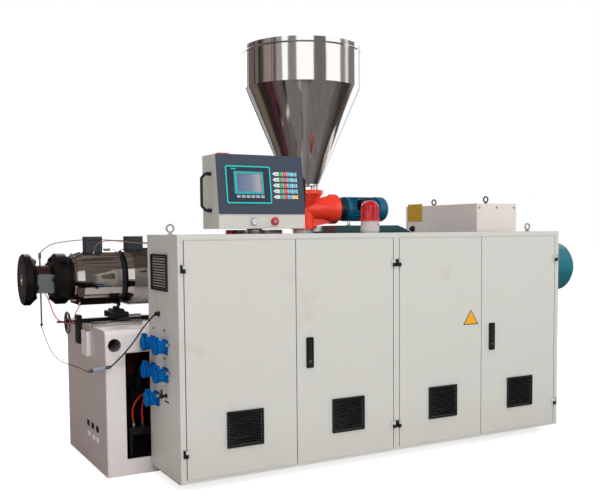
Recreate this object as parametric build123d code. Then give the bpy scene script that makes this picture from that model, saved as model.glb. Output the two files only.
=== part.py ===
"""Twin-screw plastic extruder: barrel and gear line on a welded base, with two electric cabinets in front.

Units are millimetres. X runs along the machine from the die to the motor, Y from the cabinets to the
back, Z up. The origin is on the floor under the barrel axis, in line with the cabinets' left wall.
"""
from build123d import *
import math
import os

# Height of the barrel over the floor, and of the motor under the barrel axis
centre_height = 1000
motor_drop = 32

# Electric cabinets
cabinet_front = -850
cabinet_depth = 435
cabinet_bottom = 50
cabinet_height = 1180
left_cabinet_length = 1235
right_cabinet_length = 1197
cabinet_sheet = 3
end_post = 27
joint_post = 17
top_rail = 24
bottom_rail = 12
frame_fold = 26

# Cabinet doors
door_gap = 5
door_depth = 20
door_sheet = 2
door_fold = 14

# Door hinges
hinge_reach = 8
hinge_knuckle_r = 7
hinge_pin_r = 3
hinge_height = 38
hinge_leaf = 5
hinge_leaf_width = 10
pin_clearance = 0.3
hinge_from_top = 160
lower_hinge_z = 195

# Louvred air grilles
grille_width = 196
grille_height = 178
grille_thickness = 9
grille_border = 9
grille_slats = 12
grille_slat_tilt = 35
grille_slat_thickness = 1.6
grille_bottom = 195
door_grille_offset = 8
side_grille_y = -597
side_grille_width = 230
side_grille_from_top = 273

# Swing handles with their key locks
handle_width = 40
handle_height = 156
handle_bottom = 549
handle_from_edge = 73
handle_proud = 9
handle_depth = 9
handle_wall = 3
lever_gap = 5
lever_thickness = 8
lever_pin_r = 2
lock_r = 9
lock_seat = 34

# Sockets on the cabinet's left wall
socket_rows = [686, 548, 410]
socket_near_y = -662
socket_far_y = -484
socket_low_y = -524
socket_base = 72
socket_base_thickness = 6
socket_r = 32
socket_wall = 4
socket_reach = 50
socket_rim_r = 36
socket_rim = 7
lid_gap = 5
lid_axis_inset = 7
lid_thickness = 8
lid_r = 37
lid_axis_rise = 45
lid_lug_width = 22
lid_ear = 6
lid_ear_gap = 1
lid_pin_r = 2.5

# Front support under the barrel
support_left = -226
support_length = 560
support_width = 800
support_height = 750
support_sheet = 6
support_round = 28
window_margin = 103
window_bottom = 84
window_top = 632
bar_hole_x = -178
bar_hole_z = 675
bar_hole_r = 34
bar_ring_r = 41
bar_ring_proud = 6
spout_y = -71
spout_width = 118
spout_bottom = 591
spout_height = 130
spout_proud = 22
spout_sheet = 4

# Slide rods, carriage and handwheel on the support
rod_r = 12
rod_y_place = -158
rod_left = -224
rod_right = 48
rod_lift = 12
rod_block = 30
rail_y = 50
rail_right = 300
carriage_x = -48
carriage_length = 90
carriage_width = 172
carriage_height = 33
carriage_gap = 5
carriage_wing = 8
carriage_pad_length = 64
carriage_pad_width = 100
carriage_pad_height = 14
post_r = 18.5
post_gap = 4
clamp_r = 132
clamp_width = 24
lock_rod_y = -60
lock_rod_r = 9
lock_rod_reach = 76
guide_plate_y = 86
guide_plate_width = 76
guide_plate_height = 157
guide_plate_thickness = 20
guide_plate_bottom = 637
spindle_seat = 17
wheel_z = 753
wheel_gap = 49
wheel_r = 63
wheel_rim_r = 6
wheel_hub_r = 14
wheel_spokes = 3
crank_length = 46
crank_r = 6
spindle_r = 8

# Fittings inside the support
valve_x = 20
valve_y = -120
valve_width = 110
valve_depth = 70
valve_bottom = 330
valve_height = 70
valve_column_r = 24
valve_column_height = 70
valve_cap_r = 18
valve_cap_height = 50
bracket_width = 120
bracket_sheet = 8
bracket_top = 470
manifold_z = 190
manifold_x = 10
manifold_y = -322
manifold_length = 200
manifold_size = 40
manifold_leg = 15
nipple_count = 4
nipple_pitch = 50
nipple_r = 8
nipple_height = 30
hose_r = 5

# Barrel, flanges and heaters
die_face_x = -545
flange_r = 135
die_flange_thickness = 58
flange_chamfer = 22
die_bore_r = 25
die_bolt_circle = 200
die_bolt_count = 8
die_bolt_hole_r = 9
neck_r = 58
barrel_face_x = -398
barrel_flange_thickness = 92
flange_pockets = 4
pocket_angle = 56
pocket_length = 34
pocket_width = 36
pocket_depth = 16
barrel_start_r = 98
barrel_end_r = 134
barrel_end_x = 1030
heater_start_x = -282
heater_length = 232
heater_gap = 32
heater_zones = 5
heater_first_r = 147
heater_r_step = 10
heater_chamfer = 5
heater_shoulder = 12
heater_shoulder_length = 32
heater_rim = 3
heater_rim_width = 9
clamp_screw_r = 13
clamp_screw_reach = 34
clamp_screw_spread = 118
clamp_screw_y = -30
lead_collar_r = 122
lead_collar_length = 16
clip_length = 34
neck_heater_r = 73
neck_heater_length = 70
terminal_width = 82
terminal_height = 96
terminal_thickness = 18
terminal_drop = 21
stem_x = -450
stem_r = 4
stem_top = 1139
stem_bottom = 752
stem_sleeve_r = 7
duct_first_inset = 111
duct_inset = 73
duct_length = 87
duct_width = 78
duct_top = 1222
duct_wall = 4

# Feed section, gearbox, guard and motor
feed_block_end = 1235
feed_block_half = 165
gearbox_length = 560
gearbox_width = 420
gearbox_rise = 275
gearbox_round = 40
gearbox_seam = 16
gearbox_foot = 28
gearbox_rib = 14
reducer_length = 390
reducer_width = 360
reducer_rise = 196
guard_left = 2194
guard_length = 335
guard_width = 764
guard_rise = 411
guard_sheet = 3
motor_left = 2545
motor_r = 160
motor_body_length = 500
motor_fins = 32
motor_fin_height = 12
motor_fin_thickness = 5
cowl_r = 174
cowl_wall = 5
cowl_end_x = 3287
cap_r = 149
cap_reach = 35

# Base frame
base_left = 334
base_right = 2900
base_width = 760
base_drop = 440
base_plate = 20
base_wall = 8
skid_height = 50
skid_width = 120
skid_front = -690
skid_centres = [470, 1120, 1790, 2480]
end_foot_x = 110
motor_stand_width = 330

# Feeder and hopper, with heights over the barrel axis
hopper_x = 1137
feeder_foot_rise = 256
feeder_foot_r = 81
feeder_neck_r = 66
feeder_height = 236
feeder_top_r = 124
feeder_axis_rise = 380
feeder_throat_r = 58
feeder_side_r = 70
feeder_flange_x = 1315
feeder_flange_r = 93
feeder_flange_thickness = 53
feeder_web = 60
feeder_motor_r = 77
feeder_ring_r = 73
feeder_ring_length = 58
feeder_motor_end = 1731
feeder_fins = 20
feeder_box_x = 1500
feeder_box_width = 74
spacer_count = 8
spacer_circle_r = 88
spacer_r = 6
spacer_height = 27
hopper_r = 352
hopper_sheet = 3
hopper_foot_r = 100
hopper_foot_thickness = 8
hopper_cone_height = 586
hopper_height = 833
hopper_bead_drop = 31
hopper_bead_r = 5

# Operator console, with heights over the cabinets' top
console_x = 506
console_y = -620
console_width = 482
console_depth = 210
console_top_depth = 170
console_lift = 27
console_kink_rise = 99
console_top_rise = 397
panel_thickness = 5
screen_u = -73
screen_v = -3
screen_width = 248
screen_height = 190
screen_proud = 4
glass_u = -68
glass_v = 7
glass_width = 136
glass_height = 94
key_count = 6
key_u = -133
key_pitch = 26.5
key_v = -63
key_width = 20
key_height = 13
button_rows = 5
button_row_pitch = 29.5
button_u = [110, 135, 160, 188]
button_v = -3.5
button_width = 18
button_height = 15
button_proud = 3
turntable_r = 131
turntable_height = 21
pivot_r = 40
pivot_clearance = 0.3
pivot_lift = 5
turntable_lug = 24
turntable_lug_width = 22
knob_r = 18
knob_rise = 63
gauge_x = 453
stop_x = 569
console_handle_y = -628
console_handle_low = 119
console_handle_high = 301
console_handle_reach = 51
console_handle_bend = 22
console_handle_r = 7

# Warning beacon
beacon_inset = 69
beacon_y = -700
beacon_r = 51
beacon_foot = 8
beacon_base_height = 74
beacon_dome_height = 103
beacon_ribs = 16

# Lifting eyes
eye_ring_r = 18
eye_bar_r = 4.5
eye_sides = 24
eye_shank = 12
cabinet_eye_inset = 45
guard_eye_spread = 275
gearbox_eye_x = 1398
gearbox_eye_y = -110
gearbox_eye_r = 8.5
gearbox_eye_bar = 2.5

# Cable gland and bushings on the left cabinet
gland_y = -580
gland_z = 841
gland_r = 10
gland_length = 22
bushing_r = 9
bushing_length = 16

# Free wires: diameters
capillary_d = 4
sensor_cable_d = 7
thermocouple_d = 4
heater_lead_d = 5

cabinet_back = cabinet_front + cabinet_depth
cabinet_top = cabinet_bottom + cabinet_height
cabinets_right = left_cabinet_length + right_cabinet_length
opening_bottom = cabinet_bottom + bottom_rail
opening_top = cabinet_top - top_rail
support_right = support_left + support_length
support_near = -support_width / 2
rod_z = support_height + rod_lift
motor_height = centre_height - motor_drop
base_top = centre_height - base_drop
gearbox_left = feed_block_end
gearbox_top = centre_height + gearbox_rise
reducer_top = centre_height + reducer_rise
guard_top = centre_height + guard_rise
reducer_left = gearbox_left + gearbox_length
guard_right = guard_left + guard_length
feeder_foot_z = centre_height + feeder_foot_rise
feeder_top_z = feeder_foot_z + feeder_height
feeder_axis_z = centre_height + feeder_axis_rise
hopper_foot_z = feeder_top_z + spacer_height
console_bottom = cabinet_top + console_lift
console_kink = cabinet_top + console_kink_rise
console_top = cabinet_top + console_top_rise
beacon_x = left_cabinet_length - beacon_inset
beacon_seam = cabinet_top + beacon_base_height
beacon_top = beacon_seam + beacon_dome_height

# Routes of the free wires and of the hoses
capillary_route = [
    (stem_x - 2, 0, stem_bottom), (-446, -24, 718), (-442, -55, 689), (-438, -88, 663), (-433, -121, 638),
    (-425, -157, 616), (-415, -194, 600), (-403, -234, 590), (-389, -273, 585), (-374, -312, 580),
    (-357, -351, 576), (-340, -389, 569), (-321, -425, 558)]
sensor_cable_route = [
    (-209, -440, 575), (-176, -474, 614), (-144, -514, 665), (-115, -543, 712), (-89, -562, 761),
    (-57, -573, 803), (-gland_length, gland_y, gland_z)]
thermocouple_route = [
    (stem_x + 2, 0, stem_top), (-413, -10, 1176), (-363, -22, 1192), (-312, -33, 1199), (-259, -43, 1204),
    (-206, -48, 1206), (-153, -50, 1206), (-99, -51, 1203), (-46, -51, 1200), (8, -49, 1197),
    (60, -58, 1192), (100, -92, 1187), (124, -139, 1185), (138, -191, 1182), (147, -243, 1174),
    (154, -295, 1162), (158, -347, 1151), (158, cabinet_back + bushing_length, 1140)]
heater_route = [
    (-181, -58, 1139), (-170, -62, 1181), (-125, -60, 1199), (-75, -60, 1200), (-26, -62, 1194),
    (23, -68, 1188), (70, -83, 1184), (110, -111, 1180), (124, -157, 1173), (125, -206, 1165),
    (132, -254, 1157), (139, -302, 1147), (141, -350, 1136), (142, cabinet_back + bushing_length, 1126)]
red_route = [
    (-444, -78, 931), (-427, -82, 897), (-417, -81, 863), (-407, -78, 830), (-391, -74, 799),
    (-366, -70, 775), (-334, -65, 761), (-302, -61, 768), (-290, -60, 800), (-280, -59, 830),
    (-262, -58, 856)]
hose_routes = [
    [(-65, -322, 260), (-71, -324, 300), (-62, -323, 345), (-30, -314, 382), (10, -292, 398),
     (40, -260, 394), (56, -224, 379), (60, -190, 365)],
    [(-15, -322, 260), (-19, -325, 295), (-15, -322, 332), (-2, -303, 358), (12, -272, 368),
     (19, -232, 370), (20, -190, 362)]]

os.makedirs("parts", exist_ok=True)


def save(name, shape):
    export_step(shape, f"parts/{name}.step")


def block(x0, x1, y0, y1, z0, z1):
    """Box between two values on each axis."""
    middle = Pos((x0 + x1) / 2, (y0 + y1) / 2, (z0 + z1) / 2)
    return middle * Box(x1 - x0, y1 - y0, z1 - z0)


def rod_x(x0, x1, y, z, r):
    return Pos((x0 + x1) / 2, y, z) * Rot(0, 90, 0) * Cylinder(r, x1 - x0)


def rod_y(y0, y1, x, z, r):
    return Pos(x, (y0 + y1) / 2, z) * Rot(90, 0, 0) * Cylinder(r, y1 - y0)


def rod_z_axis(z0, z1, x, y, r):
    return Pos(x, y, (z0 + z1) / 2) * Cylinder(r, z1 - z0)


def turned_x(profile, y, z):
    """Solid of revolution about a line along X, from (x, radius) points."""
    face = make_face(Plane.XZ * Polyline(*profile, close=True))
    return Pos(0, y, z) * revolve(face, Axis.X, 360)


def turned_z(profile, x, y):
    """Solid of revolution about a vertical line, from (radius, z) points."""
    face = make_face(Plane.XZ * Polyline(*profile, close=True))
    return Pos(x, y, 0) * revolve(face, Axis.Z, 360)


def turned_y(profile, x, y, z):
    """Closed knob turned about a line towards -Y, from (radius, reach) points."""
    points = [(0, 0)] + profile + [(0, profile[-1][1])]
    face = make_face(Plane.XY * Polyline(*[(r, -reach) for r, reach in points], close=True))
    return Pos(x, y, z) * revolve(face, Axis.Y, 360)


def joined(solids):
    """Several solids of one node, kept apart."""
    return Compound(children=[s for shape in solids for s in shape.solids()])


def cabinet_opening(left, length, left_post, right_post):
    return left + left_post, left + length - right_post


def cabinet_shell(left, length, left_post, right_post):
    """Folded sheet cabinet, open at the front inside its posts and rails."""
    s = cabinet_sheet
    right = left + length
    x0, x1 = cabinet_opening(left, length, left_post, right_post)
    outer = block(left, right, cabinet_front, cabinet_back, cabinet_bottom, cabinet_top)
    inner = block(left + s, right - s, cabinet_front + s, cabinet_back - s,
                  cabinet_bottom + s, cabinet_top - s)
    fold_back = cabinet_front + frame_fold
    fold = block(x0 - s, x1 + s, cabinet_front, fold_back, opening_bottom - s, opening_top + s)
    way_in = block(x0, x1, cabinet_front - 1, fold_back + 1, opening_bottom, opening_top)
    return outer - inner + fold - way_in


def knuckle(x, z0, z1, bored):
    """Half of a hinge barrel, with its pin or with the hole for it."""
    y = cabinet_front - hinge_reach
    barrel = rod_z_axis(z0, z1, x, y, hinge_knuckle_r)
    if bored:
        return barrel - rod_z_axis(z0 - 1, z1 + 1, x, y, hinge_pin_r)
    return barrel + rod_z_axis(z0, z1 + hinge_height / 2, x, y, hinge_pin_r - pin_clearance)


def hinge_half(x, z, side, on_door):
    """Leaf and knuckle of one hinge; side is +1 where the leaf lies towards +X."""
    middle = z
    half = hinge_height / 2
    if on_door:
        z0, z1 = middle + 0.5, middle + half
    else:
        z0, z1 = middle - half, middle
    start = x + side * (hinge_knuckle_r + 0.6)
    end = start + side * hinge_leaf_width
    leaf = block(min(start, end), max(start, end), cabinet_front - hinge_leaf, cabinet_front,
                 middle - half, middle + half)
    arm = block(min(x, end), max(x, end), cabinet_front - hinge_reach, cabinet_front - 1.5, z0, z1)
    return leaf + (arm - rod_z_axis(z0, z1, x, cabinet_front - hinge_reach, hinge_pin_r)
                   + knuckle(x, z0, z1, on_door))


def louvre(x0, z0, width, height, slats):
    """Louvred grille lying on the plane Y = 0, its face towards -Y."""
    x1 = x0 + width
    z1 = z0 + height
    b = grille_border
    frame = block(x0, x1, -grille_thickness, 0, z0, z1)
    frame -= block(x0 + b, x1 - b, -grille_thickness - 1, 1, z0 + b, z1 - b)
    pitch = (height - 2 * b) / slats
    slat_depth = grille_thickness / math.cos(math.radians(grille_slat_tilt)) - 2
    for i in range(slats):
        z = z0 + b + (i + 0.5) * pitch
        turn = Rot(grille_slat_tilt, 0, 0)
        slat = Box(width - 2 * b + 1, slat_depth, grille_slat_thickness)
        frame += Pos((x0 + x1) / 2, -grille_thickness / 2, z) * turn * slat
    return frame


def door_pan(x0, x1, grille_x):
    """Door of folded sheet, open at the back, with the air opening behind its grille."""
    s = door_sheet
    z0 = opening_bottom + door_gap
    z1 = opening_top - door_gap
    back = cabinet_front + door_depth
    pan = block(x0, x1, cabinet_front, back, z0, z1)
    pan -= block(x0 + s, x1 - s, cabinet_front + s, back - s, z0 + s, z1 - s)
    pan -= block(x0 + door_fold, x1 - door_fold, back - s - 1, back + 1, z0 + door_fold, z1 - door_fold)
    b = grille_border + 2
    air = block(grille_x - grille_width / 2 + b, grille_x + grille_width / 2 - b,
                cabinet_front - 1, cabinet_front + s + 1,
                grille_bottom + b, grille_bottom + grille_height - b)
    return pan - air


def handle_outline(x, y0, y1):
    """Rounded block of a handle's outline between two depths."""
    half = handle_width / 2
    outline = block(x - half, x + half, y0, y1, handle_bottom, handle_bottom + handle_height)
    return fillet(outline.edges().filter_by(Axis.Y), 6)


def handle_case(x):
    """Dish of a swing handle, let into the door, with the lock below the lever."""
    half = handle_width / 2
    z1 = handle_bottom + handle_height
    face = cabinet_front - handle_proud
    back = cabinet_front + handle_depth
    case = handle_outline(x, face, back)
    case -= block(x - half + handle_wall, x + half - handle_wall, face - 1, back - 2,
                  handle_bottom + lock_seat, z1 - handle_wall)
    case -= rod_x(x - half - 1, x + half + 1, lever_y(), lever_pin_z(), lever_pin_r + pin_clearance)
    lock = rod_y(face - 4, face, x, handle_bottom + lock_seat / 2, lock_r)
    return case + lock


def lever_y():
    return cabinet_front - handle_proud + lever_thickness / 2 - 0.5


def lever_pin_z():
    return handle_bottom + handle_height - handle_wall - lever_gap - lever_thickness / 2


def handle_lever(x):
    """Lever that folds out of the case about the pin at its top."""
    half = handle_width / 2 - handle_wall - lever_gap
    z0 = handle_bottom + lock_seat + lever_gap
    y = lever_y()
    pin_z = lever_pin_z()
    bar = block(x - half, x + half, y - lever_thickness / 2, y + lever_thickness / 2, z0, pin_z)
    bar += rod_x(x - half, x + half, y, pin_z, lever_thickness / 2)
    reach = handle_width / 2 - 1
    return bar + rod_x(x - reach, x + reach, y, pin_z, lever_pin_r)


def cabinet_doors():
    """Edges, grille centre and hinge side of the four doors, from left to right."""
    doors = []
    spans = [(0, left_cabinet_length, end_post, joint_post),
             (left_cabinet_length, right_cabinet_length, joint_post, end_post)]
    for left, length, left_post, right_post in spans:
        x0, x1 = cabinet_opening(left, length, left_post, right_post)
        middle = (x0 + x1) / 2
        doors.append((x0 + door_gap, middle - door_gap / 2, "left"))
        doors.append((middle + door_gap / 2, x1 - door_gap, "right"))
    return doors


def build_cabinets():
    left = cabinet_shell(0, left_cabinet_length, end_post, joint_post)
    for route in (thermocouple_route, heater_route):
        x, y, z = route[-1]
        left += rod_y(cabinet_back - 1, cabinet_back + bushing_length, x, z, bushing_r)
    save("left_cabinet", left)
    save("right_cabinet", cabinet_shell(left_cabinet_length, right_cabinet_length, joint_post, end_post))
    fixed_leaves = []
    for number, (x0, x1, hinge_side) in enumerate(cabinet_doors(), 1):
        grille_x = (x0 + x1) / 2 + door_grille_offset
        solids = [door_pan(x0, x1, grille_x)]
        towards_door = 1 if hinge_side == "left" else -1
        axis_x = (x0 if hinge_side == "left" else x1) - towards_door * door_gap / 2
        print(f"door {number}: hinge axis x {axis_x} y {cabinet_front - hinge_reach}")
        for z in (lower_hinge_z, cabinet_top - hinge_from_top):
            solids.append(hinge_half(axis_x, z, towards_door, True))
            fixed_leaves.append(hinge_half(axis_x, z, -towards_door, False))
        if hinge_side == "right":
            handle_x = x0 + handle_from_edge
            solids[0] -= handle_outline(handle_x, cabinet_front - 1, cabinet_front + door_sheet + 1)
            save(f"door_{number}_handle", handle_case(handle_x))
            save(f"door_{number}_lever", handle_lever(handle_x))
            print(f"door {number}: lever pin x {handle_x} y {lever_y()} z {lever_pin_z()}")
        save(f"door_{number}", joined(solids))
        grille = louvre(grille_x - grille_width / 2, grille_bottom, grille_width, grille_height,
                        grille_slats)
        save(f"door_{number}_grille", Pos(0, cabinet_front, 0) * grille)
    save("cabinet_hinges", joined(fixed_leaves))
    side = louvre(-side_grille_width / 2, cabinet_top - side_grille_from_top, side_grille_width,
                  grille_height, grille_slats)
    gland = rod_x(-gland_length, 0, gland_y, gland_z, gland_r)
    gland += Pos(-8, gland_y, gland_z) * Rot(0, 90, 0) * extrude(RegularPolygon(gland_r + 4, 6), 5)
    save("side_grille", joined([Pos(0, side_grille_y, 0) * Rot(0, 0, -90) * side, gland]))


def socket_places():
    high, middle, low = socket_rows
    return [(socket_near_y, high), (socket_far_y, high), (socket_near_y, middle),
            (socket_far_y, middle), (socket_low_y, low)]


def socket_housing(y, z):
    """Surface socket with a square base, a hollow barrel, a rim and the ears of its lid."""
    half = socket_base / 2
    base = block(-socket_base_thickness, 0, y - half, y + half, z - half, z + half)
    base = fillet(base.edges().filter_by(Axis.X), 8)
    mouth = -socket_reach
    barrel = rod_x(mouth, -socket_base_thickness, y, z, socket_r)
    rim = rod_x(mouth, mouth + socket_rim, y, z, socket_rim_r)
    well = rod_x(mouth - 1, -socket_base_thickness - 8, y, z, socket_r - socket_wall)
    axis_x = mouth + lid_axis_inset
    inner = lid_lug_width / 2 + lid_ear_gap
    body = base + barrel + rim
    for side in (-1, 1):
        y0 = y + side * inner
        y1 = y + side * (inner + lid_ear)
        low, high = min(y0, y1), max(y0, y1)
        ear = block(axis_x - lid_ear, axis_x + lid_ear, low, high, z + socket_r - 8, z + lid_axis_rise)
        body += ear + rod_y(low, high, axis_x, z + lid_axis_rise, lid_ear)
    body -= well
    body -= rod_y(y - 30, y + 30, axis_x, z + lid_axis_rise, lid_pin_r + pin_clearance)
    return body


def socket_lid(y, z):
    """Spring lid: a domed disc with a lug that turns on the pin over the socket."""
    face = -socket_reach - lid_gap
    profile = [(face, 0), (face, lid_r), (face - lid_thickness + 3, lid_r),
               (face - lid_thickness, lid_r - 5), (face - lid_thickness, 0)]
    disc = turned_x(profile, y, z)
    axis_x = -socket_reach + lid_axis_inset
    half = lid_lug_width / 2
    arm = block(face - lid_thickness + 3, axis_x, y - half, y + half,
                z + lid_axis_rise - 4, z + lid_axis_rise + lid_ear)
    neck = block(face - lid_thickness + 3, face, y - half, y + half, z + lid_r - 6, z + lid_axis_rise)
    lug = rod_y(y - half, y + half, axis_x, z + lid_axis_rise, lid_ear)
    reach = half + lid_ear_gap + lid_ear
    return disc + neck + arm + lug + rod_y(y - reach, y + reach, axis_x, z + lid_axis_rise, lid_pin_r)


def build_sockets():
    housings = []
    for number, (y, z) in enumerate(socket_places(), 1):
        housings.append(socket_housing(y, z))
        save(f"socket_lid_{number}", socket_lid(y, z))
    save("socket_housings", joined(housings))
    print("lid axis x", -socket_reach + lid_axis_inset, "rise", lid_axis_rise)


def build_support():
    """Sheet box under the barrel, with rounded long edges, a window and the lifting-bar hole."""
    s = support_sheet
    near = support_near
    far = -near
    body = block(support_left, support_right, near, far, 0, support_height)
    top_edges = body.edges().filter_by(Axis.X).group_by(Axis.Z)[-1]
    body = fillet(top_edges, support_round)
    body -= block(support_left + s, support_right - s, near + s, far - s, s, support_height - support_round)
    window = block(support_left + window_margin, support_right - window_margin,
                   near - 1, near + s + 1, window_bottom, window_top)
    ring = rod_y(near - bar_ring_proud, near + 40, bar_hole_x, bar_hole_z, bar_ring_r)
    bar_hole = rod_y(near - bar_ring_proud - 1, near + 41, bar_hole_x, bar_hole_z, bar_hole_r)
    body = body - window + ring - bar_hole
    half = spout_width / 2
    x0 = support_left - spout_proud
    z1 = spout_bottom + spout_height
    spout = block(x0, support_left, spout_y - half, spout_y + half, spout_bottom, z1)
    spout = fillet(spout.edges().filter_by(Axis.Z).group_by(Axis.X)[0], 8)
    spout -= block(x0 + spout_sheet, support_left - spout_sheet, spout_y - half + spout_sheet,
                   spout_y + half - spout_sheet, z1 - 40, z1 + 1)
    save("front_support", joined([body, spout]))


def build_slide():
    """Polished slide rod, the carriage with its post and clamp, the guide plate and the handwheel."""
    half = rod_block / 2
    rod = rod_x(rod_left, rod_right, rod_y_place, rod_z, rod_r)
    rod = chamfer(rod.edges().filter_by(GeomType.CIRCLE), 2)
    for x in (rod_left + 30, rod_right - 30):
        rod += block(x - half, x + half, rod_y_place - half, rod_y_place + half, support_height, rod_z)
    c0 = carriage_x - carriage_length / 2
    c1 = carriage_x + carriage_length / 2
    seat = rod_z + rod_r + carriage_gap
    lock = rod_x(c1, c1 + lock_rod_reach, lock_rod_y, seat + lock_rod_r, lock_rod_r)
    lock = fillet(lock.edges().filter_by(GeomType.CIRCLE).group_by(Axis.X)[-1], lock_rod_r - 2)
    save("slide_rods", joined([rod, lock]))

    z1 = seat + carriage_height
    half = carriage_width / 2
    saddle = chamfer(block(c0, c1, -half, half, seat, z1).edges().group_by(Axis.Z)[-1], 4)
    wing = block(c0 + 14, c1 - 14, rod_y_place - rod_r, rail_y + rod_r, rod_z + rod_r, seat + carriage_wing)
    half_x = carriage_pad_length / 2
    half_y = carriage_pad_width / 2
    z2 = z1 + carriage_pad_height
    pad = block(carriage_x - half_x, carriage_x + half_x, -half_y, half_y, z1, z2)
    pad = chamfer(pad.edges().group_by(Axis.Z)[-1], 5)
    post_top = centre_height - heater_first_r - heater_r_step - post_gap
    post = rod_z_axis(z2, post_top, carriage_x, 0, post_r)
    post += rod_z_axis(post_top, centre_height - clamp_r + 6, clamp_x(), 0, clamp_width / 2 - 1.5)
    c0 = clamp_x() - clamp_width / 2
    c1 = clamp_x() + clamp_width / 2
    clamp = turned_x([(c0, barrel_r(c0)), (c1, barrel_r(c1)), (c1, clamp_r), (c0, clamp_r)],
                     0, centre_height)
    save("barrel_carriage", saddle + wing + pad + post + clamp)

    x1 = support_left
    x0 = x1 - guide_plate_thickness
    half = guide_plate_width / 2
    plate = block(x0, x1, guide_plate_y - half, guide_plate_y + half, guide_plate_bottom,
                  guide_plate_bottom + guide_plate_height)
    plate = fillet(plate.edges().filter_by(Axis.X), 4)
    plate -= rod_x(x0 - 1, x0 + spindle_seat, guide_plate_y, wheel_z, spindle_r + pin_clearance)
    rail = rod_x(x1, rail_right, rail_y, rod_z, rod_r)
    for x in (x1 + half, rail_right - 30):
        rail += block(x - 15, x + 15, rail_y - 15, rail_y + 15, support_height, rod_z)
    save("guide_plate", joined([plate, rail]))
    save("handwheel", handwheel(x0 - wheel_gap))


def clamp_x():
    """Middle of the gap between the first two heaters, where the clamp holds the barrel."""
    return heater_start_x + heater_length + heater_gap / 2


def handwheel(x):
    """Rim, spokes, hub and crank grip on the spindle that turns in the guide plate."""
    y, z = guide_plate_y, wheel_z
    r = wheel_rim_r
    angles = [math.radians(15 + 30 * i) for i in range(12)]
    ring = turned_x([(x + r * math.cos(a), wheel_r - r + r * math.sin(a)) for a in angles], y, z)
    hub = turned_x([(x - 12, 0), (x - 12, wheel_hub_r - 4), (x - 8, wheel_hub_r), (x + 10, wheel_hub_r),
                    (x + 16, wheel_hub_r - 3), (x + wheel_gap - 5, wheel_hub_r - 3),
                    (x + wheel_gap - 5, 0)], y, z)
    wheel = ring + hub
    for i in range(wheel_spokes):
        spoke = Pos(0, 0, wheel_r / 2) * Cylinder(4.5, wheel_r - 10)
        wheel += Pos(x, y, z) * Rot(360 / wheel_spokes * i + 90, 0, 0) * spoke
    grip_y = y + wheel_r - wheel_rim_r
    grip = turned_x([(x + 9, 0), (x + 9, crank_r - 2), (x - 10, crank_r - 2), (x - 12, crank_r),
                     (x - crank_length + 12, crank_r + 2),
                     (x - crank_length, crank_r - 1), (x - crank_length, 0)], grip_y, z)
    return wheel + grip + rod_x(x, x + wheel_gap + spindle_seat - 1, y, z, spindle_r)


def build_support_fittings():
    """Valve unit, hose manifold and hoses that show through the support's window."""
    x = valve_x
    half = bracket_width / 2
    bracket = block(x - half, x + half, valve_y, valve_y + bracket_sheet, support_sheet, bracket_top)
    bracket = fillet(bracket.edges().filter_by(Axis.Y).group_by(Axis.Z)[-1], 10)
    half = valve_width / 2
    z0 = valve_bottom
    z1 = z0 + valve_height
    z2 = z1 + valve_column_height
    z3 = z2 + valve_cap_height
    unit = block(x - half, x + half, valve_y - valve_depth, valve_y, z0, z1)
    unit = chamfer(unit.edges().group_by(Axis.Y)[0], 4)
    column = turned_z([(0, z1), (valve_column_r, z1), (valve_column_r, z2), (valve_cap_r, z2 + 8),
                       (valve_cap_r, z3 - 4), (valve_cap_r - 4, z3), (0, z3)], x, valve_y - valve_depth / 2)
    save("valve_unit", bracket + unit + column)

    half = manifold_length / 2
    y0 = manifold_y - manifold_size / 2
    y1 = manifold_y + manifold_size / 2
    x0 = manifold_x - half
    x1 = manifold_x + half
    top = manifold_z + manifold_size
    body = block(x0, x1, y0, y1, manifold_z, top)
    body += block(x0, x0 + manifold_leg, y0, y1, support_sheet, manifold_z)
    body += block(x1 - manifold_leg, x1, y0, y1, support_sheet, manifold_z)
    for i in range(nipple_count):
        nx = manifold_x + (i - (nipple_count - 1) / 2) * nipple_pitch
        body += rod_z_axis(top, top + nipple_height, nx, manifold_y, nipple_r)
        body += Pos(nx, manifold_y, top + 8) * extrude(RegularPolygon(nipple_r + 5, 6), 12)
    save("hose_manifold", body)
    save("support_hoses", joined([tube(route, hose_r) for route in hose_routes]))


def corner_radii(route):
    """Largest arc that fits each corner of a route."""
    radii = []
    for a, b, c in zip(route, route[1:], route[2:]):
        before = Vector(*b) - Vector(*a)
        after = Vector(*c) - Vector(*b)
        turn = math.radians(before.get_angle(after))
        radii.append(0.45 * min(before.length, after.length) / math.tan(turn / 2))
    return radii


def tube(route, r):
    """Round tube along straight runs joined by tangent arcs."""
    path = FilletPolyline(*route, radius=corner_radii(route))
    start = Plane(origin=path @ 0, z_dir=path % 0)
    solid = sweep(start * Circle(r), path=path)
    share = solid.volume / (math.pi * r * r * path.length)
    print("tube", round(path.length), "mm, volume share", round(share, 3),
          "radii", [round(v) for v in corner_radii(route)])
    return solid


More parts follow.
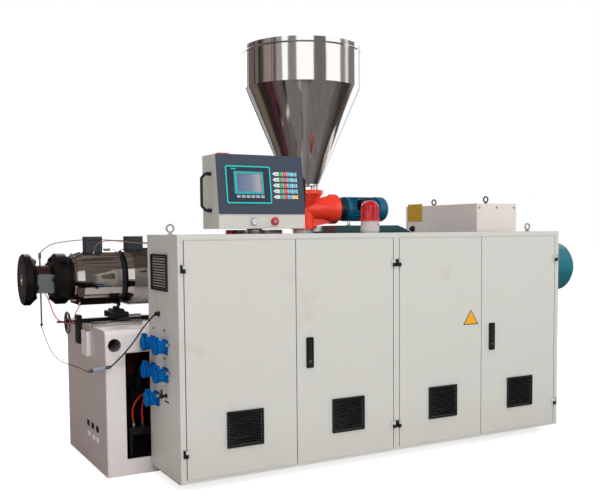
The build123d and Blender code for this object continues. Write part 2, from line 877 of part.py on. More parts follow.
def build_wires():
    """Sensor, its capillary and cable, and the wires of the heaters and of the thermocouple."""
    above = rod_z_axis(centre_height, stem_top, stem_x, 0, stem_r)
    below = rod_z_axis(stem_bottom, centre_height, stem_x, 0, stem_r)
    above += rod_z_axis(stem_top - 30, stem_top, stem_x, 0, stem_sleeve_r)
    below += rod_z_axis(stem_bottom, stem_bottom + 14, stem_x, 0, stem_sleeve_r)
    band = rod_x(die_face_x, heater_start_x, 0, centre_height, neck_heater_r)
    start = Vector(*capillary_route[-1])
    end = Vector(*sensor_cable_route[0])
    length = (end - start).length
    axis = Plane(origin=start, z_dir=end - start)
    profile = [(0, 0), (5, 0), (5, 10), (9, 12), (9, 28), (12, 30), (12, length - 32), (9, length - 28),
               (9, length - 8), (7, length), (0, length)]
    body = axis * revolve(make_face(Plane.XZ * Polyline(*profile, close=True)), Axis.Z, 360)
    save("pressure_sensor", joined([above - band, below - band, body]))
    save("sensor_capillary", tube(capillary_route, capillary_d / 2))
    save("sensor_cable", tube(sensor_cable_route, sensor_cable_d / 2))
    save("thermocouple_lead", tube(thermocouple_route, thermocouple_d / 2))
    save("heater_lead", tube(heater_route, heater_lead_d / 2))
    save("red_heater_lead", tube(red_route, heater_lead_d / 2))


def barrel_r(x):
    """Barrel radius, growing from the die end to the feed end."""
    share = (x - barrel_face_x) / (barrel_end_x - barrel_face_x)
    return barrel_start_r + share * (barrel_end_r - barrel_start_r)


def heater_zone(number):
    """Start, end and outer radius of one heater zone, counted from the die."""
    x0 = heater_start_x + number * (heater_length + heater_gap)
    return x0, x0 + heater_length, heater_first_r + number * heater_r_step


def build_barrel():
    z = centre_height
    c = flange_chamfer
    x0 = die_face_x
    x1 = x0 + die_flange_thickness
    adapter = turned_x([(x0, die_bore_r), (x0, flange_r - 8), (x0 + 8, flange_r), (x1 - c, flange_r),
                        (x1, flange_r - c), (x1, neck_r), (barrel_face_x, neck_r),
                        (barrel_face_x, die_bore_r)], 0, z)
    hole = Rot(0, 90, 0) * Cylinder(die_bolt_hole_r, 2 * die_flange_thickness)
    for i in range(die_bolt_count):
        a = math.radians(360 / die_bolt_count * (i + 0.5))
        r = die_bolt_circle / 2
        adapter -= Pos(x0 + die_flange_thickness / 2, r * math.sin(a), z + r * math.cos(a)) * hole
    save("die_adapter", adapter)

    x0 = barrel_face_x
    x1 = x0 + barrel_flange_thickness
    flange = turned_x([(x0, barrel_r(x0) - 20), (x0, flange_r - c), (x0 + c, flange_r), (x1 - c, flange_r),
                       (x1, flange_r - c), (x1, barrel_r(x1)), (x0 + 30, barrel_r(x1)),
                       (x0 + 30, barrel_r(x0) - 20)], 0, z)
    pocket = Pos(0, 0, flange_r) * Box(pocket_length, pocket_width, 2 * pocket_depth)
    for i in range(flange_pockets):
        flange -= Pos((x0 + x1) / 2, 0, z) * Rot(pocket_angle + 360 / flange_pockets * i, 0, 0) * pocket
    save("barrel_flange", flange)

    end = barrel_end_x
    barrel = turned_x([(x0, 0), (x0, barrel_r(x0) - 20), (x0 + 30, barrel_r(x0) - 20),
                       (x0 + 30, barrel_r(x1)), (x1, barrel_r(x1)), (end, barrel_r(end)), (end, 0)], 0, z)
    h = feed_block_half
    feed = block(end, feed_block_end, -h, h, z - h, z + h)
    feed = chamfer(feed.edges().filter_by(Axis.X), 12)
    throat = rod_z_axis(z + h, feeder_foot_z, hopper_x, 0, feeder_neck_r)
    save("barrel", barrel + feed + throat)

    covers = []
    ducts = []
    for i in range(heater_zones):
        covers.append(heater_cover(i))
        x0, x1, r = heater_zone(i)
        inset = duct_inset if i else duct_first_inset
        ducts.append(cooling_duct(x0 + inset, z + r))
    save("heater_covers", joined(covers))
    save("cooling_ducts", joined(ducts))

    middle = (die_face_x + die_flange_thickness + barrel_face_x) / 2
    x0 = middle - neck_heater_length / 2
    x1 = middle + neck_heater_length / 2
    band = turned_x([(x0, neck_r), (x0, neck_heater_r), (x1, neck_heater_r), (x1, neck_r)], 0, z)
    half = terminal_width / 2
    y0 = -neck_heater_r - terminal_drop + 9
    z0 = z - terminal_height / 2 - terminal_drop
    box = block(middle - half + 3, middle + half + 3, y0, y0 + terminal_thickness, z0, z0 + terminal_height)
    box = fillet(box.edges().filter_by(Axis.Y), 3) - rod_x(x0 - 20, x1 + 20, 0, z, neck_heater_r)
    save("neck_heater", joined([band, box]))


def heater_cover(number):
    """Cover of one heater zone, with its shoulder, end rim and lock clip."""
    z = centre_height
    x0, x1, r = heater_zone(number)
    k = heater_chamfer
    rim = heater_rim_width
    cover = turned_x([(x0, barrel_r(x0)), (x0, r - heater_shoulder), (x0 + heater_shoulder_length, r),
                      (x1 - rim, r), (x1 - rim, r + heater_rim), (x1 - 2, r + heater_rim), (x1, r - k),
                      (x1, barrel_r(x1))], 0, z)
    cover += block(x1 - 26 - clip_length, x1 - 26, -9, 9, z + r - 8, z + r + 9)
    if number == 0:
        c0 = x0 - lead_collar_length
        cover += turned_x([(c0, barrel_r(c0)), (c0, lead_collar_r - 3), (c0 + 3, lead_collar_r),
                           (x0, lead_collar_r), (x0, barrel_r(x0))], 0, z)
        for side in (-1, 1):
            cover += rod_x(x0 - clamp_screw_reach / 2, x0 + clamp_screw_reach, clamp_screw_y,
                           z + side * clamp_screw_spread, clamp_screw_r)
        x, y, top = heater_route[0]
        cover += rod_z_axis(z + r - 25, top + 1, x, y, 7)
        x, y, bottom = red_route[-1]
        cover += rod_z_axis(bottom - 1, z - r + 30, x, y, 7)
    return cover


def cooling_duct(x, cover_top):
    """Square blower outlet standing on a heater cover, with bars across its mouth."""
    half_x = duct_length / 2
    half_y = duct_width / 2
    z0 = cover_top - 6
    w = duct_wall
    duct = block(x - half_x, x + half_x, -half_y, half_y, z0, duct_top)
    duct -= block(x - half_x + w, x + half_x - w, -half_y + w, half_y - w, cover_top + 8, duct_top + 1)
    radius = cover_top - centre_height
    duct -= rod_x(x - half_x - 1, x + half_x + 1, 0, centre_height, radius)
    for i in range(3):
        y = (i - 1) * duct_width / 4
        duct += block(x - half_x + 1, x + half_x - 1, y - 2, y + 2, duct_top - 8, duct_top - 3)
    return duct


def build_drive():
    """Gear housings, coupling guard and the main motor."""
    x0, x1 = gearbox_left, reducer_left
    half = gearbox_width / 2
    top = gearbox_top
    bevel = gearbox_round
    outline = Polyline((x0, base_top), (x0, top - bevel + 5), (x0 + bevel, top), (x1 - 2 * bevel, top),
                       (x1, top - bevel), (x1, base_top), close=True)
    gearbox = extrude(make_face(Plane.XZ.offset(half) * outline), 2 * half, dir=(0, 1, 0))
    gearbox = chamfer(gearbox.edges().filter_by(Axis.X).group_by(Axis.Z)[-1], bevel / 2)
    s = gearbox_seam
    gearbox += block(x0, x1, -half - s, half + s, centre_height - s, centre_height + s)
    gearbox += block(x0, x1, -half - 50, half + 50, base_top, base_top + gearbox_foot)
    for i in range(4):
        x = x0 + (i + 0.5) * gearbox_length / 4
        gearbox += block(x - gearbox_rib / 2, x + gearbox_rib / 2, -half - s - 18, half + s + 18,
                         base_top + gearbox_foot, centre_height - s)
    save("gearbox", gearbox)

    half = reducer_width / 2
    x2 = x1 + reducer_length
    reducer = block(x1, x2, -half, half, base_top, reducer_top)
    reducer = fillet(reducer.edges().filter_by(Axis.X).group_by(Axis.Z)[-1], 60)
    reducer += block(x1, x2, -half - 40, half + 40, base_top, base_top + gearbox_foot)
    seam_z = (base_top + reducer_top) / 2
    reducer += block(x1 + 2, x2 - 2, -half - s + 4, half + s - 4, seam_z - s + 4, seam_z + s - 4)
    reducer += rod_x(x2, guard_left, 0, motor_height, 78)
    save("reducer", reducer)

    g = guard_sheet
    half = guard_width / 2
    guard = block(guard_left, guard_right, -half, half, base_top, guard_top)
    guard -= block(guard_left + g, guard_right - g, -half + g, half - g, base_top - 1, guard_top - g)
    save("coupling_guard", guard)

    z = motor_height
    body_end = motor_left + motor_body_length
    body = turned_x([(guard_right, 0), (guard_right, 125), (motor_left, 125), (motor_left, motor_r + 8),
                     (motor_left + 22, motor_r + 8), (motor_left + 22, motor_r - motor_fin_height),
                     (body_end - 8, motor_r - motor_fin_height), (body_end - 8, cowl_r - cowl_wall),
                     (body_end, cowl_r - cowl_wall), (body_end, 0)], 0, z)
    for i in range(motor_fins):
        angle = 360 / motor_fins * i
        mid = (motor_left + 10 + body_end) / 2
        fin = Box(body_end - motor_left - 30, motor_fin_thickness, 2 * motor_fin_height)
        body += Pos(mid, 0, z) * Rot(angle, 0, 0) * Pos(0, 0, motor_r - motor_fin_height) * fin
    half = motor_stand_width / 2
    feet = block(motor_left + 70, body_end - 140, -half, half, z - motor_r - 34, z - motor_r + 14)
    box = block(motor_left + 130, motor_left + 330, motor_r - 20, motor_r + 90, z - 70, z + 70)
    save("main_motor", body + feet + fillet(box.edges().filter_by(Axis.Y), 10))

    wall = cowl_wall
    dome = [(body_end - 20, cowl_r - wall), (body_end - 20, cowl_r), (cowl_end_x - 6, cowl_r),
            (cowl_end_x, cowl_r - 6), (cowl_end_x, cap_r), (cowl_end_x + cap_reach - 10, cap_r),
            (cowl_end_x + cap_reach, cap_r - 14), (cowl_end_x + cap_reach, 0),
            (cowl_end_x + cap_reach - wall, 0), (cowl_end_x + cap_reach - wall, cap_r - 14),
            (cowl_end_x - wall, cap_r - wall), (cowl_end_x - wall, cowl_r - wall)]
    cowl = turned_x(dome, 0, z)
    save("motor_cowl", cowl)


def build_base():
    """Welded base under the gear line, on skids that also carry the cabinets."""
    half = base_width / 2
    w = base_wall
    base = block(base_left, base_right, -half, half, skid_height, base_top)
    base -= block(base_left + w, base_right - w, -half + w, half - w, skid_height + w,
                  base_top - base_plate)
    solids = [base]
    half_skid = skid_width / 2
    for x in skid_centres:
        skid = block(x - half_skid, x + half_skid, skid_front, half, 0, skid_height)
        skid -= block(x - half_skid + 8, x + half_skid - 8, skid_front - 1, half + 1, -1, skid_height - 8)
        solids.append(skid)
    foot = block(end_foot_x - half_skid, end_foot_x + half_skid, skid_front, cabinet_back, 0, skid_height)
    foot -= block(end_foot_x - half_skid + 8, end_foot_x + half_skid - 8, skid_front - 1,
                  cabinet_back + 1, -1, skid_height - 8)
    solids.append(foot)
    half = motor_stand_width / 2
    x0 = motor_left + 60
    x1 = base_right - 10
    z1 = motor_height - motor_r - 34
    stand = block(x0, x1, -half, half, base_top, z1)
    stand -= block(x0 + 16, x1 - 16, -half + 16, half - 16, base_top + 16, z1 - 16)
    solids.append(stand)
    save("base_frame", joined(solids))


def build_feeder():
    """Red feeder casting, its motor, and the hopper that stands on it."""
    x = hopper_x
    foot = feeder_foot_z
    top = feeder_top_z
    axis = feeder_axis_z
    inner = feeder_throat_r
    body = turned_z([(inner, foot), (feeder_foot_r, foot), (feeder_foot_r, foot + 22),
                     (feeder_neck_r, foot + 26), (feeder_neck_r, axis - 20), (feeder_neck_r - 3, axis + 3),
                     (feeder_top_r - 20, top - 41), (feeder_top_r - 7, top - 25), (feeder_top_r, top - 23),
                     (feeder_top_r, top), (inner + 22, top), (inner, top - 60)], x, 0)
    f0 = feeder_flange_x
    f1 = f0 + feeder_flange_thickness
    side = turned_x([(x, 0), (x, feeder_side_r), (x + 100, feeder_side_r), (f0 - 45, feeder_side_r + 4),
                     (f0 - 12, feeder_flange_r - 8), (f0, feeder_flange_r), (f1 - 9, feeder_flange_r),
                     (f1, feeder_flange_r - 9), (f1, 0)], 0, axis)
    web = Polyline((x + 50, axis - 50), (x + 50, foot + 8), (x + 84, foot + 20),
                   (f0 + 12, axis - feeder_flange_r + 8), (f0 + 12, axis - 50), close=True)
    side += extrude(make_face(Plane.XZ.offset(feeder_web / 2) * web), feeder_web, dir=(0, 1, 0))
    well = rod_z_axis(foot - 1, top + 1, x, 0, inner)
    cone = turned_z([(0, top - 60), (inner, top - 60), (inner + 22, top), (0, top)], x, 0)
    save("feeder_casting", body + (side - well - cone))

    r = feeder_motor_r
    ring = feeder_ring_r
    end = feeder_motor_end
    x0 = f1 + feeder_ring_length
    motor = turned_x([(f1, 0), (f1, ring), (x0 - 12, ring), (x0 - 12, ring - 7), (x0 - 2, ring - 7),
                      (x0 - 2, r), (x0 + 24, r), (x0 + 24, r - 8), (end - 72, r - 8), (end - 72, r + 2),
                      (end - 20, r + 2), (end - 7, r - 5), (end, r - 20), (end, 0)], 0, axis)
    length = end - 72 - x0 - 24
    for i in range(feeder_fins):
        fin = Pos(0, 0, r - 8) * Box(length, 3, 16)
        motor += Pos(x0 + 24 + length / 2, 0, axis) * Rot(360 / feeder_fins * i, 0, 0) * fin
    box = block(feeder_box_x, feeder_box_x + feeder_box_width, -r - 30, -r + 16, axis - 5, axis + 62)
    motor += fillet(box.edges().filter_by(Axis.Y), 6)
    save("feeder_motor", motor)

    s = hopper_sheet
    r = hopper_r
    z0 = hopper_foot_z
    zf = z0 + hopper_foot_thickness
    z1 = z0 + hopper_cone_height
    z2 = z0 + hopper_height
    zb, b = z2 - hopper_bead_drop, hopper_bead_r
    rn = hopper_foot_r - 3
    hole = inner + 24
    shell = turned_z([(hole, z0), (hopper_foot_r, z0), (hopper_foot_r, zf), (rn, zf), (r, z1), (r, zb - b),
                      (r + b, zb), (r, zb + b), (r, z2), (r - s, z2), (r - s, z1 + 1), (rn - s, zf + 1),
                      (hole, zf)], x, 0)
    for i in range(spacer_count):
        a = math.radians(360 / spacer_count * (i + 0.5))
        shell += rod_z_axis(top, z0 + 1, x + spacer_circle_r * math.cos(a), spacer_circle_r * math.sin(a),
                            spacer_r)
    save("hopper", shell)


def console_plane():
    """Plane of the sloping operator panel, centred on it, with its normal outwards."""
    front = console_y - console_depth / 2
    lean = console_depth - console_top_depth
    rise = console_top - console_kink
    origin = (console_x, front + lean / 2, (console_top + console_kink) / 2)
    return Plane(origin=origin, x_dir=(1, 0, 0), z_dir=(0, -rise, lean))


def build_console():
    front = console_y - console_depth / 2
    back = console_y + console_depth / 2
    top_front = back - console_top_depth
    x0 = console_x - console_width / 2
    x1 = console_x + console_width / 2
    outline = [(front, console_bottom), (front, console_kink), (top_front, console_top),
               (back, console_top), (back, console_bottom)]
    side = make_face(Plane.YZ * Polyline(*outline, close=True))
    case = Pos(x0, 0, 0) * extrude(side, console_width, dir=(1, 0, 0))
    case = fillet(case.edges().filter_by(Axis.Z), 4)
    case += rod_z_axis(cabinet_top + pivot_lift, console_bottom, console_x, console_y, pivot_r)
    save("console_case", case)

    plane = console_plane()
    tall = math.hypot(console_top - console_kink, console_depth - console_top_depth)
    panel = extrude(RectangleRounded(console_width, tall, 6), panel_thickness)
    save("console_panel", plane * panel)

    bezel = Pos(screen_u, screen_v, panel_thickness) * extrude(
        RectangleRounded(screen_width, screen_height, 10), screen_proud)
    glass = Pos(glass_u, glass_v, panel_thickness + screen_proud) * Box(glass_width, glass_height, 4)
    save("console_screen", plane * (bezel - glass))
    keys = []
    level = panel_thickness + screen_proud
    for i in range(key_count):
        keys.append(plane * Pos(key_u + i * key_pitch, key_v, level + 1) * Box(key_width, key_height, 2))
    u0 = button_u[0] - 47
    u1 = button_u[-1] + button_width / 2 + 6
    high = button_height / 2 + 2
    for row in range(button_rows):
        v = button_v + ((button_rows - 1) / 2 - row) * button_row_pitch
        arrow = Polyline((u0, v), (u0 + 14, v + high), (u1, v + high), (u1, v - high), (u0 + 14, v - high),
                         close=True)
        strip = Pos(0, 0, panel_thickness) * extrude(make_face(arrow), button_proud / 2)
        for u in button_u:
            strip += Pos(u, v, panel_thickness + button_proud / 2) * Box(button_width, button_height,
                                                                       button_proud)
        keys.append(plane * strip)
    knob_z = cabinet_top + knob_rise
    gauge = turned_y([(knob_r, 0), (knob_r, 8), (knob_r - 4, 12), (knob_r - 6, 9)], gauge_x, front, knob_z)
    stop_profile = [(knob_r + 2, 0), (knob_r, 14), (knob_r - 8, 14), (knob_r - 9, 9)]
    stop = turned_y(stop_profile, stop_x, front, knob_z)
    mark = block(x0 + 42, x0 + 107, console_y, console_y + 30, console_top, console_top + 13)
    mark = chamfer(mark.edges().group_by(Axis.Z)[-1], 5)
    save("console_controls", joined(keys + [gauge, stop, mark]))

    handles = []
    low = cabinet_top + console_handle_low
    high = cabinet_top + console_handle_high
    y = console_handle_y
    cut = console_handle_bend
    for side in (-1, 1):
        wall = x0 if side < 0 else x1
        out = wall + side * console_handle_reach
        path = FilletPolyline((wall, y, low), (out - side * cut, y, low), (out, y, low + cut),
                              (out, y, high - cut), (out - side * cut, y, high), (wall, y, high), radius=8)
        start = Plane(origin=path @ 0, z_dir=path % 0)
        handle = sweep(start * Circle(console_handle_r), path=path)
        inner = wall + side * 20
        for z in (low, high):
            handle += rod_x(min(wall, inner), max(wall, inner), y, z, console_handle_r + 3)
        handles.append(handle)
    save("console_handles", joined(handles))

    disc_top = cabinet_top + turntable_height
    bore = pivot_r + pivot_clearance
    disc_profile = [(bore, cabinet_top), (turntable_r, cabinet_top), (turntable_r, cabinet_top + 8),
                    (turntable_r - 8, cabinet_top + 11), (turntable_r - 8, disc_top), (bore, disc_top)]
    disc = turned_z(disc_profile, console_x, console_y)
    solids = [disc]
    half = turntable_lug_width / 2
    for side in (-1, 1):
        u0 = console_x + side * (turntable_r + 1)
        u1 = u0 + side * turntable_lug
        lug = block(min(u0, u1), max(u0, u1), console_y - half, console_y + half, cabinet_top, disc_top)
        solids.append(chamfer(lug.edges().group_by(Axis.Z)[-1], 3))
    save("console_turntable", joined(solids))


def faceted_ring(r, bar):
    """Flat ring of many sides with its rims bevelled, lying on its own axis."""
    ring = extrude(RegularPolygon(r + bar, eye_sides) - RegularPolygon(r - bar, eye_sides), 2 * bar)
    ring = chamfer(ring.edges().filter_by(GeomType.LINE).filter_by(Axis.Z, reverse=True), bar * 0.55)
    return Pos(0, 0, -bar) * ring


def lifting_eye(x, y, z, turned, r=eye_ring_r, bar=eye_bar_r):
    """Eye bolt standing on a cover; turned eyes have their ring across the machine."""
    ring_z = z + eye_shank + r
    upright = Rot(90, 0, 90 if turned else 0)
    collar = turned_z([(0, z), (14, z), (14, z + 3), (9, z + 7), (0, z + 7)], x, y)
    shank = rod_z_axis(z + 5, ring_z - r + 1, x, y, bar + 0.5)
    return collar + shank + Pos(x, y, ring_z) * upright * faceted_ring(r, bar)


def build_top_fittings():
    """Warning beacon and the lifting eyes on the covers."""
    r = beacon_r
    foot = cabinet_top + beacon_foot
    base = turned_z([(0, cabinet_top), (r - 5, cabinet_top), (r - 5, foot), (r + 1, foot),
                     (r - 1, beacon_seam - 8), (r + 3, beacon_seam - 6), (r + 3, beacon_seam),
                     (0, beacon_seam)], beacon_x, beacon_y)
    save("beacon_base", base)
    crown = r * 0.75
    arc = [((r - 2) * math.cos(math.radians(a)), beacon_top - crown + crown * math.sin(math.radians(a)))
           for a in range(0, 91, 15)]
    dome = turned_z([(0, beacon_seam), (r - 2, beacon_seam)] + arc[:-1] + [(0, beacon_top)],
                    beacon_x, beacon_y)
    straight = beacon_top - crown - beacon_seam
    for i in range(beacon_ribs):
        a = math.radians(360 / beacon_ribs * i)
        rib = Cylinder(2.5, straight)
        dome += Pos(beacon_x + (r - 2) * math.cos(a), beacon_y + (r - 2) * math.sin(a),
                    beacon_seam + straight / 2) * rib
    save("beacon_dome", dome)
    middle = (cabinet_front + cabinet_back) / 2
    eyes = [lifting_eye(cabinet_eye_inset, middle, cabinet_top, False),
            lifting_eye(cabinets_right - cabinet_eye_inset, middle, cabinet_top, True),
            lifting_eye(gearbox_eye_x, gearbox_eye_y, gearbox_top, True, gearbox_eye_r, gearbox_eye_bar)]
    guard_x = (guard_left + guard_right) / 2
    for side, turned in ((-1, False), (1, True)):
        eyes.append(lifting_eye(guard_x, side * guard_eye_spread, guard_top, turned))
    save("lifting_eyes", joined(eyes))


build_cabinets()
build_sockets()
build_support()
build_slide()
build_support_fittings()
build_barrel()
build_wires()
build_drive()
build_base()
build_feeder()
build_console()
build_top_fittings()
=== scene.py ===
"""Twin-screw plastic extruder: finishes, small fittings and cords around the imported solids."""

import math

import bmesh
import bpy
from mathutils import Matrix, Vector


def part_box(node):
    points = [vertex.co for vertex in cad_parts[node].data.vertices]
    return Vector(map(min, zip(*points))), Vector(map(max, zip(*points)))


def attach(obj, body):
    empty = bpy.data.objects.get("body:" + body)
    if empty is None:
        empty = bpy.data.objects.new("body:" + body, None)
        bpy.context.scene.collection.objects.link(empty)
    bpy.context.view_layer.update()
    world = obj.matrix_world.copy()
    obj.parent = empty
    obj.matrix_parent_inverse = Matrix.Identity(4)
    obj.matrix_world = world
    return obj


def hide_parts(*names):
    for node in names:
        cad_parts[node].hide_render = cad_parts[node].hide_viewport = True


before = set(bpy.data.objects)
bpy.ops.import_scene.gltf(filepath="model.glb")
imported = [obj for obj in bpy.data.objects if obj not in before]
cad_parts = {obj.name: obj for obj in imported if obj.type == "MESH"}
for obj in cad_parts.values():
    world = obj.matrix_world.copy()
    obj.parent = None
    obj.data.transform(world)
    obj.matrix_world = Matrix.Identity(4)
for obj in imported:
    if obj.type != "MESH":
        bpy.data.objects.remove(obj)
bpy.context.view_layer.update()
MM = 0.001


def corners(node):
    """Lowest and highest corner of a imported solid, in whole millimetres."""
    return [[round(c / MM) for c in corner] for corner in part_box(node)]


def middle(node):
    """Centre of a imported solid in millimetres, to a half."""
    low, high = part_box(node)
    return [round((a + b) / MM) / 2 for a, b in zip(low, high)]


# Places and sizes in millimetres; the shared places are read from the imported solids

# Cabinets, with the posts and rails that frame the doors
LEFT_END = corners("left_cabinet")[0][0]
(JOINT, CABINET_FRONT, CABINET_BOTTOM), (RIGHT_END, CABINET_BACK, CABINET_TOP) = corners("right_cabinet")
END_POST = 27
JOINT_POST = 17
TOP_RAIL = 24
BOTTOM_RAIL = 12
DOOR_GAP = 5
OPENINGS = [(LEFT_END + END_POST, JOINT - JOINT_POST), (JOINT + JOINT_POST, RIGHT_END - END_POST)]

# Hinges and swing handles
HINGE_AXIS_OUT = 8
HINGE_HALF_HEIGHT = 19
LEVERS = {door: middle(f"{door}_lever")[0] for door in ("door_2", "door_4")}
HANDLE_FOOT = corners("door_2_handle")[0][2]

# Sockets on the end wall: (y, z) of each axis
LID_R = 37
SOCKETS = [(middle(f"socket_lid_{n}")[1], corners(f"socket_lid_{n}")[0][2] + LID_R) for n in range(1, 6)]

# Operator console: sloping panel over an upright apron that carries the knobs
CONSOLE_X = middle("console_case")[0]
CONSOLE_FRONT = corners("console_case")[0][1]
CONSOLE_TOP = corners("console_case")[1][2]
PANEL_FOOT = corners("console_panel")[0][2]
PANEL_SETBACK = 40
PANEL_THICKNESS = 5
KNOB_Z = CABINET_TOP + 63
GAUGE_X = CONSOLE_X - 53
STOP_X = CONSOLE_X + 63

# Barrel, feeder, motor, guard and support
DIE_FACE = corners("die_adapter")[0][0]
DIE_FLANGE = 58
BARREL_Z = middle("die_adapter")[2]
BARREL_FLANGE_FACE = corners("barrel_flange")[0][0]
FLANGE_BOLTS_R = 100
FEEDER_X = middle("hopper")[0]
FEEDER_FOOT_Z = corners("feeder_casting")[0][2]
FEEDER_TOP_Z = corners("feeder_casting")[1][2]
FEEDER_AXIS_Z = middle("feeder_motor")[2]
FEEDER_MOTOR_LEFT = corners("feeder_motor")[0][0]
FEEDER_MOTOR_END = corners("feeder_motor")[1][0]
MOTOR_END = corners("motor_cowl")[1][0]
MOTOR_Z = middle("motor_cowl")[2]
SLOT_DEPTH = 1.6
GUARD_LOW, GUARD_HIGH = corners("coupling_guard")
SUPPORT_END = -226
BEACON_X, BEACON_Y = middle("beacon_base")[:2]
BEACON_SEAM = corners("beacon_base")[1][2]

# Places of one solid that are painted or plated otherwise than the rest of it
BUSHINGS = ((130, -416, 1112), (170, -395, 1152))
# The support's end face is coloured darker than its front: painted shade.
SUPPORT_END_SHADE = ((-227.5, -410, 0), (-222, 410, 770))
FEED_BLOCK_TOP = ((1035, -170, 1168), (1240, 170, 1257))
WHEEL_HUB = ((-330, 70, 737), (-238, 102, 769))
GUARD_EYES = ((2330, -320, 1395), (2400, 320, 1500))
LEFT_STOP = ((345, -640, 1225), (374.6, -600, 1256))
RIGHT_STOP = ((637.4, -640, 1225), (670, -600, 1256))
TERMINAL_BOX = ((-490, -95, 925), (-390, -66.8, 1035))
FEEDER_MOTOR_FLANGE = ((1360, -110, 1270), (1414.5, 110, 1490))
FEEDER_MOTOR_BOX = ((1490, -115, 1370), (1580, -60, 1450))
CONSOLE_TOP_BUTTON = ((300, -630, 1620), (380, -580, 1645))
BEZEL_KEYS = ((355, -760, 1398), (520, -690, 1432))
STOP_BUTTON = ((545, -742, 1265), (595, -724, 1320))
GAUGE_BODY = ((430, -742, 1265), (476, -724, 1320))
BEACON_COLLAR = ((1100, -760, 1297), (1230, -640, 1305))
TRANSDUCER_SLEEVE = ((-296, -450, 545), (-236, -420, 590))
NIPPLES = ((-100, -350, 230.2), (120, -295, 275))

# Every surface: size of its mottling, softness of a stain's edge, height and strength of floor dust
MOTTLE_MM = 140
STAIN_EDGE = 0.14
DUST_HEIGHT_MM = 320
DUST_SHARE = 0.35

# What a Mix node blends
COLOURS = {"data_type": "RGBA"}
VALUES = {"data_type": "FLOAT"}


def linear(code):
    """Linear RGBA of an sRGB hex colour."""
    channels = [int(code[i:i + 2], 16) / 255 for i in (1, 3, 5)]
    return [c / 12.92 if c <= 0.04045 else ((c + 0.055) / 1.055) ** 2.4 for c in channels] + [1.0]


def add(tree, kind, settings=None, **sockets):
    """Adds a node; settings are its properties, sockets its inputs as values or as outputs to link."""
    node = tree.nodes.new(kind)
    for name, value in (settings or {}).items():
        setattr(node, name, value)
    for name, value in sockets.items():
        key = int(name[1:]) if name[0] == "i" and name[1:].isdigit() else name.replace("_", " ")
        if isinstance(value, bpy.types.NodeSocket):
            tree.links.new(value, node.inputs[key])
        else:
            node.inputs[key].default_value = value
    return node


def empty_tree(owner):
    """Node tree of a material or world, with nothing in it yet."""
    owner.use_nodes = True
    owner.node_tree.nodes.clear()
    return owner.node_tree


def new_material(name):
    """Material with a bare principled shader: material, tree, shader and the place on the object."""
    material = bpy.data.materials.new(name)
    tree = empty_tree(material)
    out = add(tree, "ShaderNodeOutputMaterial")
    shader = add(tree, "ShaderNodeBsdfPrincipled")
    tree.links.new(shader.outputs[0], out.inputs[0])
    place = add(tree, "ShaderNodeTexCoord").outputs["Object"]
    return material, tree, shader, place


def inside(tree, place, box):
    """1 inside a box given in millimetres, 0 outside."""
    low, high = Vector(box[0]) * MM, Vector(box[1]) * MM
    off = add(tree, "ShaderNodeVectorMath", {"operation": "SUBTRACT"}, i0=place, i1=(low + high) / 2)
    reach = add(tree, "ShaderNodeVectorMath", {"operation": "ABSOLUTE"}, i0=off.outputs[0])
    past = add(tree, "ShaderNodeVectorMath", {"operation": "SUBTRACT"}, i0=reach.outputs[0],
               i1=(high - low) / 2)
    axes = add(tree, "ShaderNodeSeparateXYZ", Vector=past.outputs[0]).outputs
    most = add(tree, "ShaderNodeMath", {"operation": "MAXIMUM"}, i0=axes["X"], i1=axes["Y"])
    most = add(tree, "ShaderNodeMath", {"operation": "MAXIMUM"}, i0=most.outputs[0], i1=axes["Z"])
    return add(tree, "ShaderNodeMath", {"operation": "LESS_THAN"}, i0=most.outputs[0], i1=0.0).outputs[0]


